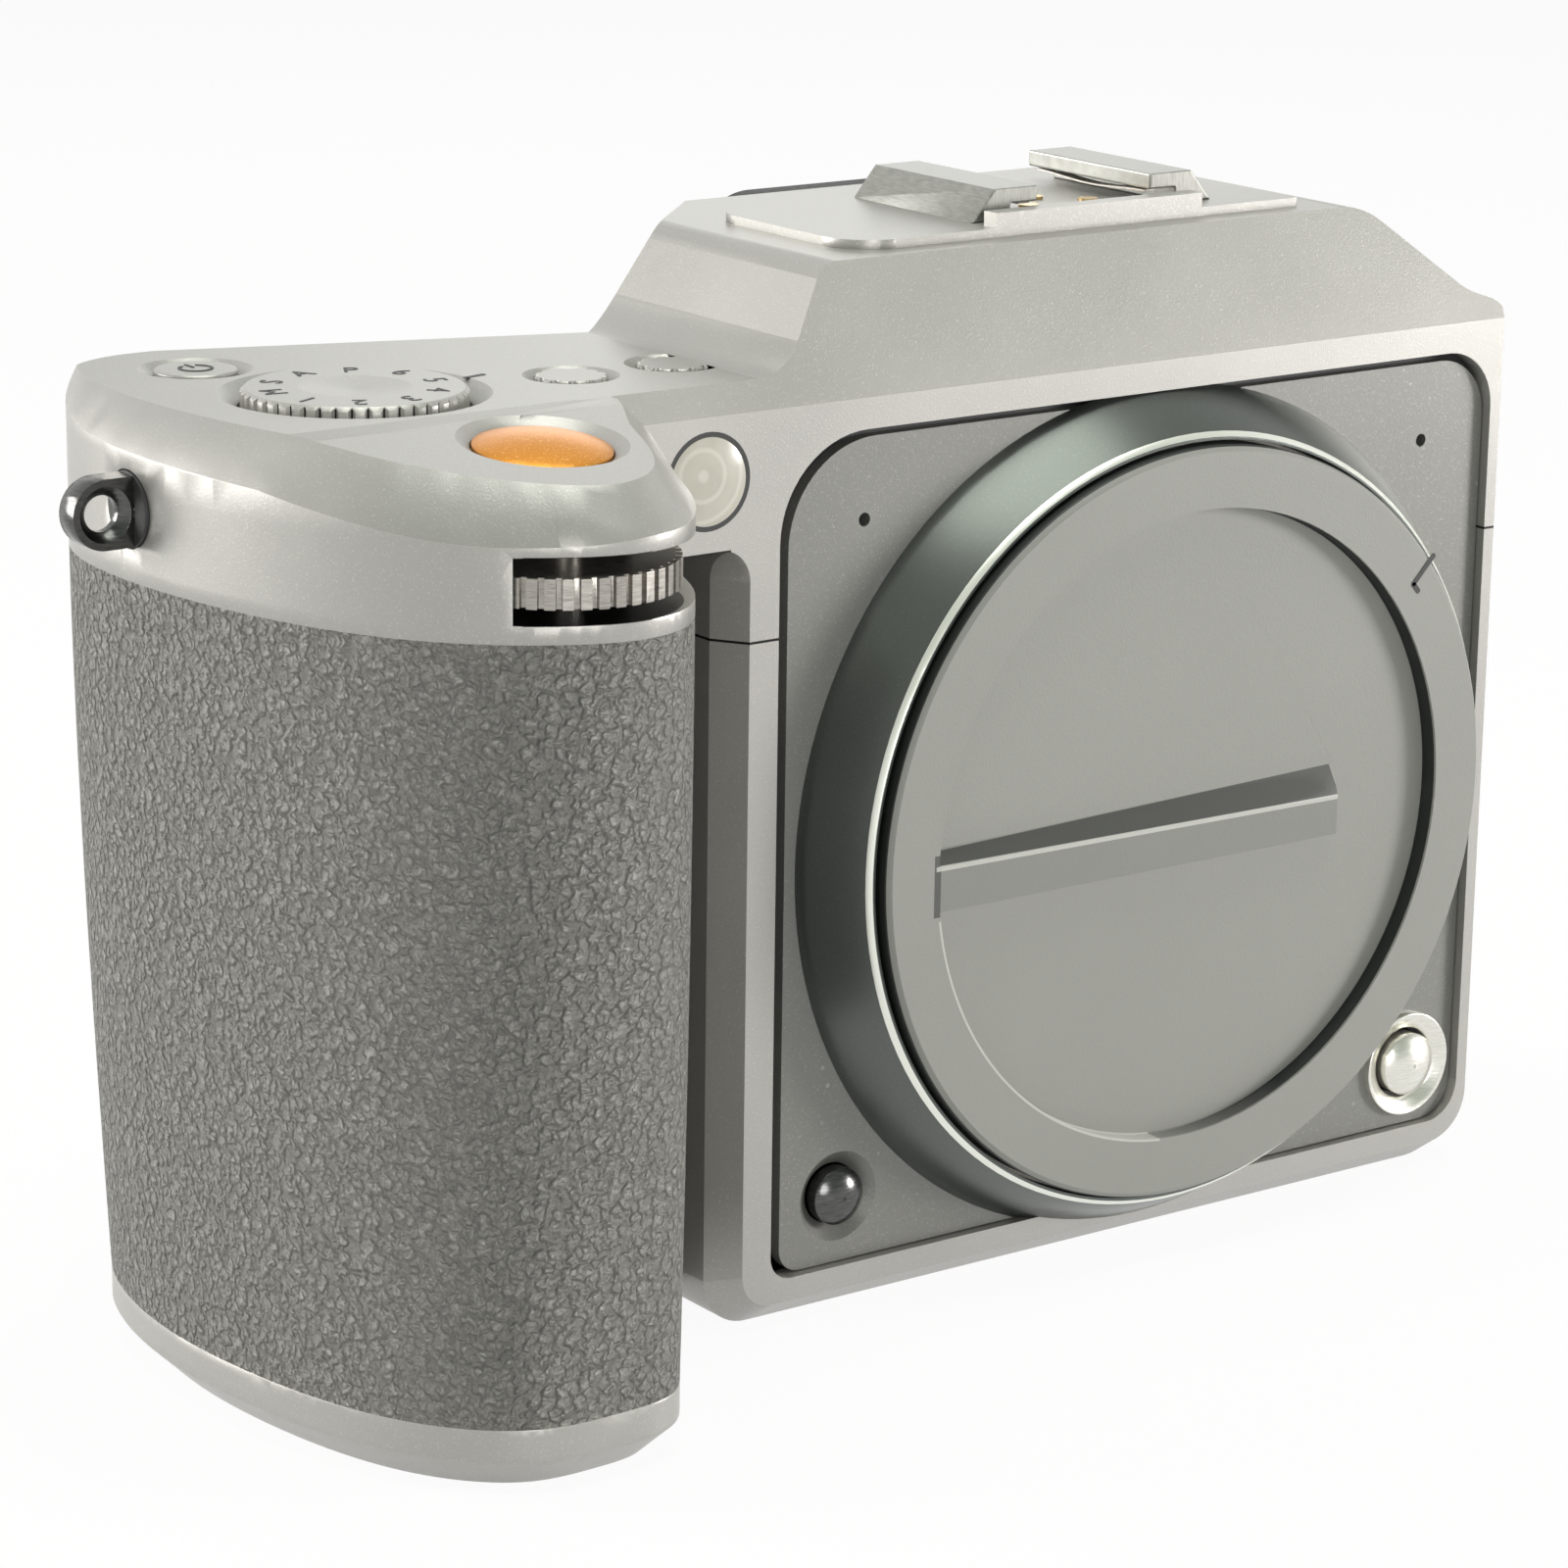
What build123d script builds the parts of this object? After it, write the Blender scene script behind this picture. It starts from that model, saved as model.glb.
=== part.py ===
from build123d import *
from math import cos, pi, radians, sin, sqrt, tan
import os

# A medium format digital camera body with its body cap on.
# Origin: mouth of the tripod socket, under the lens axis. +Z is up, +X is to the right
# as seen from the front, and the lens looks along -Y. All lengths are in millimetres.
# Depths are measured back from the front face of the frame.

# Driving dimensions of the body
socket_setback = 20.0
body_right = 41.4
frame_left = -46.3
body_depth = 38.2
rear_wall = 3.6
seam_height = 61.75
crease_height = 81.4
deck_height = 83.9
hump_height = 92.3
recess_ceiling = 70.0
overrun = 30.0
sliver = 0.02

# Driving dimensions of the front opening, its plate and the lens mount
axis_height = 40.5
opening_left = -41.3
opening_right = 39.4
opening_low = 4.3
opening_high = 78.7
opening_corners = (9.0, 5.4, 3.6, 2.2)
plate_gap_left = 1.6
plate_gap_right = 0.1
plate_gap_high = 0.85
plate_gap_low = 0.1
plate_recess = 1.0
plate_thickness = 1.2
housing_base_radius = 38.6
housing_front_radius = 35.2
housing_height = 5.1
housing_chamfer = 0.45
flange_radius = 34.5
flange_height = 3.0
throat_radius = 30.6
tab_radius = 28.6
tab_thickness = 1.4
tab_count = 3
tab_angle = 52.0
throat_undercut = 0.7
flange_to_sensor = 18.1

# Driving dimensions of the grip
grip_left = -93.6
grip_inner = -54.5
grip_front = -22.0
grip_foot_height = 5.6
rubber_top = 70.0
rubber_wall = 1.6
deck_band = 3.2
deck_fall = 6.5
tent_depth = 20.0
deck_blend = 25.0
finger_depth = 12.0
foot_draw = (1.2, 2.0, 2.2)
lean_power = 1.6

# Running clearances
running_gap = 0.05
sliding_gap = 0.1
button_gap = 0.15
cover_gap = 0.3


def block(x_low, x_high, depth_low, depth_high, z_low, z_high):
    """a box between two corners, with depths counted back from the frame's front face"""
    size = (x_high - x_low, depth_high - depth_low, z_high - z_low)
    middle = Pos((x_high + x_low) / 2, (depth_high + depth_low) / 2 - socket_setback, (z_high + z_low) / 2)
    return middle * Box(*size)


def front_view(x=0, z=0, depth=0):
    """a drawing plane that looks at the front, whose solids grow towards the lens"""
    return Plane(origin=(x, depth - socket_setback, z), x_dir=(1, 0, 0), z_dir=(0, -1, 0))


def rear_view(x=0, z=0, depth=0):
    """a drawing plane that looks at the back, whose solids grow away from the lens"""
    return Plane(origin=(x, depth - socket_setback, z), x_dir=(-1, 0, 0), z_dir=(0, 1, 0))


def right_view(x=0, depth=0, z=0):
    """a drawing plane that looks at the right side, drawn in depth and height"""
    return Plane(origin=(x, depth - socket_setback, z), x_dir=(0, 1, 0), z_dir=(1, 0, 0))


def top_view(x=0, depth=0, z=0):
    """a drawing plane that looks down, drawn in width and depth"""
    return Plane(origin=(x, depth - socket_setback, z))


def outline(points, radii):
    """a closed flat face through the points, each corner with its own radius"""
    return make_face(FilletPolyline(*points, radius=list(radii), close=True))


def rounded_bar(width, height, radius):
    """a rectangle with four equal corners"""
    return RectangleRounded(width, height, radius)


def tube(outer, inner, length):
    """a plain ring or sleeve that stands on its drawing plane"""
    return extrude(Circle(outer) - Circle(inner), amount=length)


def turned(profile):
    """a full turn of a radius and height profile about the vertical"""
    return revolve(Plane.XZ * make_face(Polyline(*profile, close=True)), Axis.Z)


def ring_of(shape, count, radius, start=0.0):
    """copies of a shape round a circle, each turned with its place"""
    step = 360.0 / count
    return [Rot(0, 0, start + step * i) * Pos(radius, 0, 0) * shape for i in range(count)]


def as_group(solids):
    """separate solids that belong to one named piece"""
    return Compound(children=list(solids))


def fused(shapes):
    """one solid out of overlapping or touching shapes"""
    whole = shapes[0]
    for shape in shapes[1:]:
        whole = whole + shape
    return whole


# The grip's outline seen from above, at its metal top and at its foot. Across runs from
# its inner side to its left side, along from its front to its rear.
top_shares = ((0.095, 0.215), (0.175, 0.095), (0.280, 0.022), (0.400, 0.0), (0.560, 0.030), (0.740, 0.120),
              (0.880, 0.265), (0.965, 0.450), (1.0, 0.660), (0.960, 0.850), (0.860, 0.955), (0.700, 1.0))
foot_shares = ((0.080, 0.205), (0.155, 0.085), (0.260, 0.014), (0.400, 0.0), (0.600, 0.010), (0.785, 0.098),
               (0.903, 0.236), (0.975, 0.422), (0.995, 0.660), (0.935, 0.850), (0.845, 0.955), (0.700, 1.0))
grip_rear = body_depth
stack_sections = 4


def grip_face(inset=0.0, low=0.0, rear=None):
    """the grip's flat outline, drawn smaller by the inset and blended towards the foot's outline"""
    inner = grip_inner - inset - low * foot_draw[0]
    across = inner - (grip_left + inset + low * foot_draw[1])
    front = grip_front + inset + low * foot_draw[2]
    rear = grip_rear - inset if rear is None else rear
    points = []
    for top, foot in zip(top_shares, foot_shares):
        share_x = top[0] + low * (foot[0] - top[0])
        share_y = top[1] + low * (foot[1] - top[1])
        points.append((inner - share_x * across, front + share_y * (rear - front)))
    corner = (inner, 0)
    back_corner = (inner, rear)
    sides = [Line(corner, points[0]), Spline(*points), Line(points[-1], back_corner), Line(back_corner, corner)]
    return Pos(0, -socket_setback, 0) * make_face(sides)


def lowness(height):
    """how far the outline at a height has gone from the top outline to the foot's"""
    reach = rubber_top - grip_foot_height
    return min(max(rubber_top - height, 0.0) / reach, 1.0) ** lean_power


def grip_stack(low, high, inset=0.0):
    """the leaning grip between two heights"""
    step = (high - low) / (stack_sections - 1)
    heights = [low + i * step for i in range(stack_sections)]
    return loft([Pos(0, 0, height) * grip_face(inset, lowness(height)) for height in heights])


# Values of the body block
bevel_foot = 2.2
bevel_across = 2.0
bevel_depth = 3.0
bevel_right = 0.8
lower_corners = (4.5, 5.5)
face_corners = (3.2, 4.6)
slope_depth = 4.6
shoulder = (82.6, 3.0)
shoulder_foot = (36.9, 84.1, 6.0)
hump_right = (26.5, 7.0)
hump_left = (-34.0, 3.0)
flank_foot = (-40.0, 6.0)
bridge_left = -62.0
rear_slope_left = (-80.0, 38.5)
rear_slope_right = (-46.0, 27.3)
rear_slope_fall = 40.0
corner_left = (-35.7, 27.2)
corner_right = (-24.9, 37.9)
corner_fall = 61.8


def body_front_face():
    """the whole body seen from the front, from its foot to the hump"""
    points = [
        (frame_left, 0), (body_right, 0), (body_right, shoulder[0]), (shoulder_foot[0], shoulder_foot[1]),
        (hump_right[0], hump_height), (hump_left[0], hump_height), (flank_foot[0], deck_height),
        (frame_left, deck_height),
    ]
    radii = [lower_corners[0], lower_corners[1], shoulder[1], shoulder_foot[2], hump_right[1], hump_left[1],
             flank_foot[1], 0]
    return outline(points, radii)


def slope_cut():
    """what is cut away in front of the leaning face between the crease and the hump"""
    points = [
        (-overrun, crease_height), (0, crease_height), (slope_depth, hump_height),
        (slope_depth, hump_height + overrun), (-overrun, hump_height + overrun),
    ]
    wedge = extrude(right_view(bridge_left) * make_face(Polyline(*points, close=True)), amount=-bridge_left * 2)
    return wedge


def frame_outline(left, right, low, corners):
    """the frame seen from the front, with its two lower corners rounded"""
    high = hump_height + overrun
    return outline([(left, low), (right, low), (right, high), (left, high)], [corners[0], corners[1], 0, 0])


def bevelled_frame():
    """the room that the body may fill, with the bevel round the frame's front edge"""
    full = frame_outline(frame_left, body_right, 0, lower_corners)
    face = frame_outline(frame_left + bevel_across, body_right - bevel_right, bevel_foot, face_corners)
    bevel = loft([front_view(depth=bevel_depth) * full, front_view() * face])
    rest = extrude(front_view(depth=body_depth) * full, amount=body_depth - bevel_depth)
    bridge = block(frame_left, 0, 0, bevel_depth, recess_ceiling - bevel_depth, hump_height + overrun)
    return bevel + rest + bridge


def body_block():
    """the main body as one solid, before it is split into its shells"""
    block_solid = extrude(front_view(depth=body_depth) * body_front_face(), amount=body_depth)
    return (block_solid & bevelled_frame()) - slope_cut()


def finger_outline(right):
    """the hollow beside the frame seen from the front, with a round top corner"""
    return outline([(grip_left, -overrun), (right, -overrun), (right, recess_ceiling), (grip_left, recess_ceiling)],
                   [0, 0, bevel_depth, 0])


def finger_recess():
    """the hollow between the grip and the frame, with the bevel beside it"""
    wide = finger_outline(frame_left + bevel_across)
    narrow = finger_outline(frame_left)
    bevel = loft([front_view(depth=bevel_depth) * narrow, front_view() * wide])
    deep = extrude(front_view(depth=finger_depth) * narrow, amount=finger_depth - bevel_depth)
    return bevel + deep + extrude(front_view() * wide, amount=overrun)


def falling_plane(left, right, height, fall):
    """a plane through two places at one height that falls towards the back by an angle"""
    across, along = left[0] - right[0], left[1] - right[1]
    length = sqrt(across**2 + along**2)
    steep = sin(radians(fall))
    normal = (along / length * steep, -across / length * steep, cos(radians(fall)))
    return Plane(origin=(right[0], right[1] - socket_setback, height), x_dir=(across, along, 0), z_dir=normal)


def rear_slope():
    """the plane behind the deck, which runs obliquely down to the thumb"""
    return falling_plane(rear_slope_left, rear_slope_right, deck_height, rear_slope_fall)


def rear_corner_cut():
    """what lies above both the rear slope and the oblique corner of the hump"""
    slab = Box(overrun * 5, overrun * 5, overrun * 2, align=(Align.CENTER, Align.CENTER, Align.MIN))
    corner = falling_plane(corner_left, corner_right, hump_height, corner_fall)
    return (rear_slope() * slab) & (corner * slab)


# Values of the lens side of the inside
cavity_left = -43.8
cavity_right = 38.9
cavity_depth_low = plate_recess + plate_thickness
cavity_depth_high = body_depth - rear_wall
cavity_low = 2.2
cavity_high = 80.2
cavity_step = (-34.0, 23.0, 71.5)


def front_opening(gap_shift=False):
    """the opening in the frame, or the plate's outline when the gaps are taken off"""
    left = opening_left + (plate_gap_left if gap_shift else 0)
    right = opening_right - (plate_gap_right if gap_shift else 0)
    high = opening_high - (plate_gap_high if gap_shift else 0)
    low = opening_low + (plate_gap_low if gap_shift else 0)
    radii = [opening_corners[0], opening_corners[1], opening_corners[2], opening_corners[3]]
    return outline([(left, high), (right, high), (right, low), (left, low)], radii)


def opening_cut():
    """the opening, cut from the front to the seat of the inner frame"""
    return extrude(front_view(depth=cavity_depth_low) * front_opening(), amount=cavity_depth_low + overrun)


def cavity():
    """the room inside the two shells"""
    room = block(cavity_left, cavity_right, cavity_depth_low, cavity_depth_high, cavity_low, cavity_high)
    x, depth, z = cavity_step
    return room - block(cavity_left, x, depth, cavity_depth_high, z, cavity_high)


# Values of the controls on the deck. Each place is across, then depth.
shutter_place = (-69.9, -7.6)
shutter_radius = 5.6
shutter_dish_radius = 6.9
shutter_dome = 1.0
shutter_stem_radius = 1.4
shutter_stem = 1.2
shutter_head = 2.2
shutter_proud = 0.5
shutter_travel = 1.0
dial_place = (-74.2, 13.6)
dial_radius = 9.3
dial_dish_radius = 11.2
dial_dish = 1.2
dial_height = 3.2
dial_proud = 0.5
dial_flutes = 44
flute_depth = 0.35
flute_turn = 45.0
dial_dip_radius = 4.6
dial_dip = 0.4
post_radius = 2.6
post_length = 7.5
post_in_dial = 1.8
power_place = (-80.0, 29.4)
power_radius = 3.5
power_dish_radius = 4.8
small_places = ((-55.2, 10.6), (-45.0, 10.6))
small_radius = 3.1
small_dish_radius = 4.1
button_dish = 0.7
button_height = 2.6
button_travel = 0.6
scallops = 12
scallop_radius = 0.42
lamp_place = (-48.65, 76.0)
lamp_radius = 3.75
lamp_bezel_wall = 0.45
lamp_depth = 2.4
lamp_sunk = 0.4

# Values of the two setting wheels
front_wheel_place = (-71.5, -12.6)
front_wheel_radius = 9.5
front_wheel_low = 72.8
front_wheel_thickness = 2.45
front_slot_low = 71.5
front_slot_high = 76.8
front_slot_left = -79.6
front_slot_back = -9.0
wheel_ridges = 42
ridge_depth = 0.5
ridge_share = 0.62
wheel_bore = 1.6
rear_wheel_place = (-72.6, 30.4)
rear_wheel_radius = 8.6
rear_wheel_low = 74.0
rear_wheel_thickness = 3.6
rear_wheel_ridges = 30
front_axle_length = 7.2
rear_axle_length = 9.0
wheel_room = 0.35

# Values of the strap lugs
lug_height = 75.9
lug_depth = 16.6
lug_radius = 2.9
lug_hole = 1.5
lug_countersink = 0.8
lug_width = 2.4
lug_reach = 2.5
lug_stem_radius = 1.3
lug_stem_length = 2.2
collar_radius = 3.15
collar_height = 0.7
left_lug_seat = -93.0


def deck_drop(depth):
    """how far the deck lies below its flat part at a depth in front of the frame"""
    return -min(depth, 0.0) * tan(radians(deck_fall))


def on_deck(place, drop=0.0):
    """the location on the deck's surface at a place, square to the surface"""
    x, depth = place
    tilt = deck_fall if depth < 0 else 0.0
    return Pos(x, depth - socket_setback, deck_height - deck_drop(depth)) * Rot(tilt, 0, 0) * Pos(0, 0, -drop)


def band_tent(tilt):
    """a tapering solid whose sloping sides cut the band below the deck's edge"""
    plane = Pos(0, -socket_setback, deck_height - deck_band) * Rot(tilt, 0, 0) * Pos(0, socket_setback, 0)
    back = body_depth + deck_band
    low = plane * Pos(0, 0, -tent_depth) * grip_face(-tent_depth, rear=back)
    high = plane * Pos(0, 0, 2 * deck_band) * grip_face(2 * deck_band, rear=back)
    return loft([low, high])


def grip_top():
    """the metal top of the grip, with the band round its falling deck"""
    tall = extrude(Pos(0, 0, rubber_top) * grip_face(), amount=deck_height - rubber_top)
    front = grip_front - deck_band
    section = outline([(body_depth + deck_band, rubber_top), (body_depth + deck_band, deck_height), (0, deck_height),
                       (front, deck_height - deck_drop(front)), (front, rubber_top)], [0, 0, deck_blend, 0, 0])
    falling = extrude(right_view(grip_left - overrun) * section, amount=2 * overrun + grip_inner - grip_left)
    return tall & falling & band_tent(0) & band_tent(deck_fall)


def wheel_slots():
    """the slots that the two setting wheels turn in"""
    x, depth = front_wheel_place
    height = front_slot_high - front_slot_low
    disc = top_view(x, depth, front_slot_low) * Circle(front_wheel_radius + wheel_room)
    slot = extrude(disc, amount=height)
    window = block(front_slot_left, grip_inner + sliver, grip_front - overrun, front_slot_back, front_slot_low,
                   front_slot_high)
    back_x, back_depth = rear_wheel_place
    disc = top_view(back_x, back_depth, rear_wheel_low - wheel_room) * Circle(rear_wheel_radius + wheel_room)
    rear = extrude(disc, amount=rear_wheel_thickness + 2 * wheel_room)
    return slot + window + rear


def axle_holes():
    """the blind holes that hold the axles of the two wheels"""
    holes = []
    for (x, depth), low, thick, length in wheel_places():
        middle = low + thick / 2
        hole = Cylinder(wheel_bore - running_gap, length)
        holes.append(Pos(x, depth - socket_setback, middle) * hole)
    return fused(holes)


def wheel_places():
    """place, lowest height, thickness and axle of the front and the rear wheel"""
    return (
        (front_wheel_place, front_wheel_low, front_wheel_thickness, front_axle_length),
        (rear_wheel_place, rear_wheel_low, rear_wheel_thickness, rear_axle_length),
    )


def deck_wells():
    """dishes and wells of the buttons and of the mode dial"""
    wells = []
    head = shutter_head + shutter_travel + sliding_gap
    dish = Cone(shutter_radius + button_gap, shutter_dish_radius, button_dish, align=(Align.CENTER, Align.CENTER, Align.MAX))
    well = Cylinder(shutter_radius + button_gap, head, align=(Align.CENTER, Align.CENTER, Align.MAX))
    stem = Cylinder(shutter_stem_radius + running_gap, head + shutter_stem, align=(Align.CENTER, Align.CENTER, Align.MAX))
    wells += [on_deck(shutter_place) * shape for shape in (dish, well, stem)]
    for place, radius, dish_radius in ((power_place, power_radius, power_dish_radius),
                                       (small_places[0], small_radius, small_dish_radius),
                                       (small_places[1], small_radius, small_dish_radius)):
        dish = Cone(radius + button_gap, dish_radius, button_dish, align=(Align.CENTER, Align.CENTER, Align.MAX))
        well = Cylinder(radius + button_gap, button_height + button_travel + sliding_gap,
                        align=(Align.CENTER, Align.CENTER, Align.MAX))
        wells += [on_deck(place) * dish, on_deck(place) * well]
    depth = dial_height - dial_proud
    dish = Cone(dial_radius + cover_gap, dial_dish_radius, dial_dish, align=(Align.CENTER, Align.CENTER, Align.MAX))
    well = Cylinder(dial_radius + cover_gap, depth + sliding_gap, align=(Align.CENTER, Align.CENTER, Align.MAX))
    post = Cylinder(post_radius + running_gap, depth + post_length, align=(Align.CENTER, Align.CENTER, Align.MAX))
    wells += [on_deck(dial_place) * shape for shape in (dish, well, post)]
    return wells


# Values of the eyepiece and of the rear of the hump
eyepiece_height = 81.6
eyepiece_width = 37.0
eyepiece_tall = 20.4
eyepiece_reach = 5.2
eyepiece_round = 5.0
eyepiece_taper = 8.0
diopter_radius = 2.3
diopter_thickness = 2.6
diopter_depth = 2.5
diopter_ridges = 14
diopter_pin_radius = 0.8
diopter_right = 1.0
tunnel_width = 22.0
tunnel_tall = 13.0
tunnel_depth = 22.0
eyecup_width = 34.0
eyecup_tall = 18.6
eyecup_wall = (4.2, 3.0)
eyecup_reach = 4.8
eyecup_round = 6.5
eyecup_tongue = 1.2
slope_buttons = ((3.6, -4.6), (13.4, -4.6))
rear_button_radius = 2.7
rear_button_height = 2.4
rear_button_proud = 0.5


def tunnel():
    """the light path from the finder's display to the eyepiece"""
    face = rear_view(z=eyepiece_height, depth=tunnel_depth) * RectangleRounded(tunnel_width, tunnel_tall, eyecup_tongue)
    return extrude(face, amount=body_depth - tunnel_depth + overrun)


def slope_button_wells():
    """the wells of the two buttons on the slope behind the deck"""
    deep = rear_button_height - rear_button_proud + button_travel + sliding_gap
    wells = []
    for along, down in slope_buttons:
        hole = Cylinder(rear_button_radius + button_gap, deep + overrun, align=(Align.CENTER, Align.CENTER, Align.MIN))
        wells.append(rear_slope() * Pos(along, down, -deep) * hole)
    return wells


def top_cover():
    """the upper shell: hump, deck, upper frame and the grip's metal top"""
    upper = body_block() & block(frame_left - sliver, body_right, -sliver, body_depth, seam_height, hump_height + sliver)
    ledge_face = [(grip_inner - deck_band * 2, 0), (frame_left + deck_band, 0), (frame_left + deck_band, body_depth),
                  (grip_inner - deck_band * 2, body_depth)]
    ledge = extrude(top_view(z=recess_ceiling) * make_face(Polyline(*ledge_face, close=True)),
                    amount=deck_height - recess_ceiling)
    upper = upper - finger_recess() + (ledge - slope_cut())
    upper = upper + grip_top() - rear_corner_cut()
    upper = upper - opening_cut() - cavity()
    upper = upper - block(frame_left - overrun, body_right + overrun, body_depth - rear_wall, body_depth + overrun,
                          0, rubber_top)
    upper = upper - wheel_slots() - axle_holes() - tunnel()
    for well in deck_wells() + slope_button_wells():
        upper = upper - well
    lamp = front_view(lamp_place[0], lamp_place[1], lamp_depth) * Circle(lamp_radius + lamp_bezel_wall)
    upper = upper - extrude(lamp, amount=lamp_depth + overrun)
    return upper - lug_boss_room() - left_lug_stem() - right_lug_stem()


# Values of the lower shell
socket_radius = 5.6
socket_height = 6.4
socket_thread_radius = 2.55
socket_depth = 6.0
screw_radius = 1.6
screw_head = 0.9
screw_shank_radius = 0.8
screw_shank = 3.2
screw_drive_depth = 0.55
base_screw_places = ((-38.0, 7.0), (34.0, 7.0), (34.0, 28.0), (-38.0, 28.0), (-14.0, 30.0), (14.0, 30.0))
pocket_depth = 2.4
door_hinge_inset = 1.2
door_knuckle = 1.1
door_pin_radius = 0.6
door_gap = 0.2
door_depth_low = 12.0
door_depth_high = 31.0
ports_low = 8.0
ports_high = 33.0
cards_low = 35.4
cards_high = 58.4
door_thickness = 1.8
door_pin_reach = 0.8
door_panel_start = 1.8
door_web = (0.7, 0.4)


def door_rows():
    """lowest and highest height of the ports' door and of the cards' door"""
    return ((ports_low, ports_high), (cards_low, cards_high))


def door_room(low, high):
    """the pocket that one door closes, with the room round its hinge"""
    floor = body_right - pocket_depth
    pocket = block(floor, body_right + overrun, door_depth_low, door_depth_high, low, high)
    x = body_right - door_hinge_inset
    barrel = top_view(x, door_depth_low, low) * Circle(door_knuckle + door_gap)
    return pocket + extrude(barrel, amount=high - low)


def hinge_pin_hole(low, high):
    """the hole through the shell for one hinge pin"""
    x = body_right - door_hinge_inset
    face = top_view(x, door_depth_low, low - door_pin_reach) * Circle(door_pin_radius)
    return extrude(face, amount=high - low + 2 * door_pin_reach)


def lower_body():
    """the lower shell: frame, bottom and sides below the seam"""
    inside_rear = body_depth - rear_wall
    shell = body_block() & block(frame_left - sliver, body_right, -sliver, inside_rear, 0, seam_height)
    shell = shell - opening_cut() - cavity()
    boss = Pos(0, 0, 0) * Cylinder(socket_radius + deck_band / 2, socket_height,
                                   align=(Align.CENTER, Align.CENTER, Align.MIN))
    shell = shell + (boss & block(cavity_left, cavity_right, cavity_depth_low, inside_rear, 0, socket_height))
    shell = shell - Cylinder(socket_radius, socket_height, align=(Align.CENTER, Align.CENTER, Align.MIN))
    for x, depth in base_screw_places:
        shell = shell - screw(x, depth)
    for low, high in door_rows():
        shell = shell - door_room(low, high) - hinge_pin_hole(low, high)
    for socket in card_sockets() + port_sockets():
        shell = shell - socket
    return shell


def screw(x, depth):
    """one base screw, head down"""
    head = top_view(x, depth, 0) * Circle(screw_radius)
    shank = top_view(x, depth, 0) * Circle(screw_shank_radius)
    solid = extrude(head, amount=screw_head) + extrude(shank, amount=screw_shank)
    return solid


def screw_socket(x, depth):
    """the six-lobed drive in a screw's head, drawn as a hexagon"""
    return extrude(top_view(x, depth, 0) * RegularPolygon(screw_shank_radius, 6), amount=screw_drive_depth)


def screws():
    """the screws of the bottom and of the lens flange, as separate solids"""
    base = [screw(x, depth) - screw_socket(x, depth) for x, depth in base_screw_places]
    return as_group(base + [mount_screw(place) for place in mount_screw_places()])


def tripod_socket():
    """the steel insert that a tripod screw fits"""
    sleeve = tube(socket_radius, socket_thread_radius, socket_height)
    lid = extrude(Pos(0, 0, socket_depth) * Circle(socket_thread_radius), amount=socket_height - socket_depth)
    return sleeve + lid


# Values of the sockets behind the two doors
card_slot = (24.6, 2.3)
card_slots_up = (41.6, 49.4)
card_frame_wall = 1.0
card_length = 14.0
jack_radius = 1.75
jack_frame = 3.0
jack_places = ((25.2, 13.6), (25.2, 22.0))
plug_size = (8.6, 2.8)
plug_place = (17.0, 20.5)
plug_corner = 1.25
socket_reach = 12.0


def card_sockets():
    """rooms for the two card holders behind the upper door"""
    width = door_depth_high - door_depth_low - 2 * card_frame_wall - door_knuckle - door_gap
    middle = (door_depth_high + door_depth_low + door_knuckle + door_gap) / 2
    rooms = []
    for height in card_slots_up:
        tall = card_slot[1] + 2 * card_frame_wall
        rooms.append(block(body_right - pocket_depth - card_length, body_right - pocket_depth + sliver,
                           middle - width / 2, middle + width / 2, height - tall / 2, height + tall / 2))
    return rooms


def card_slots():
    """two card holders, each with its own slot"""
    holders = []
    for room in card_sockets():
        box = room.bounding_box()
        middle = (box.min.Y + box.max.Y) / 2 + socket_setback
        half = (box.max.Y - box.min.Y) / 2 - card_frame_wall
        height = (box.min.Z + box.max.Z) / 2
        slot = block(box.min.X + card_frame_wall, box.max.X + overrun, middle - half, middle + half,
                     height - card_slot[1] / 2, height + card_slot[1] / 2)
        face = block(box.min.X, body_right - pocket_depth, middle - overrun, middle + overrun,
                     height - overrun, height + overrun)
        holders.append((room & face) - slot)
    return as_group(holders)


def port_sockets():
    """rooms for the two round jacks and the flat plug behind the lower door"""
    rooms = []
    x = body_right - pocket_depth + sliver
    for depth, height in jack_places:
        rooms.append(extrude(right_view(x, depth, height) * Circle(jack_frame), amount=-socket_reach - sliver))
    plug = RectangleRounded(plug_size[1] + 2 * card_frame_wall, plug_size[0] + 2 * card_frame_wall, card_frame_wall)
    rooms.append(extrude(right_view(x, plug_place[0], plug_place[1]) * plug, amount=-socket_reach - sliver))
    return rooms


def ports():
    """the two round jacks and the flat plug socket, as separate solids"""
    x = body_right - pocket_depth
    solids = []
    for depth, height in jack_places:
        face = Circle(jack_frame) - Circle(jack_radius)
        solids.append(extrude(right_view(x, depth, height) * face, amount=-socket_reach))
    wide = RectangleRounded(plug_size[1] + 2 * card_frame_wall, plug_size[0] + 2 * card_frame_wall, card_frame_wall)
    hole = RectangleRounded(plug_size[1], plug_size[0], plug_corner)
    solids.append(extrude(right_view(x, plug_place[0], plug_place[1]) * (wide - hole), amount=-socket_reach))
    return as_group(solids)


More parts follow.
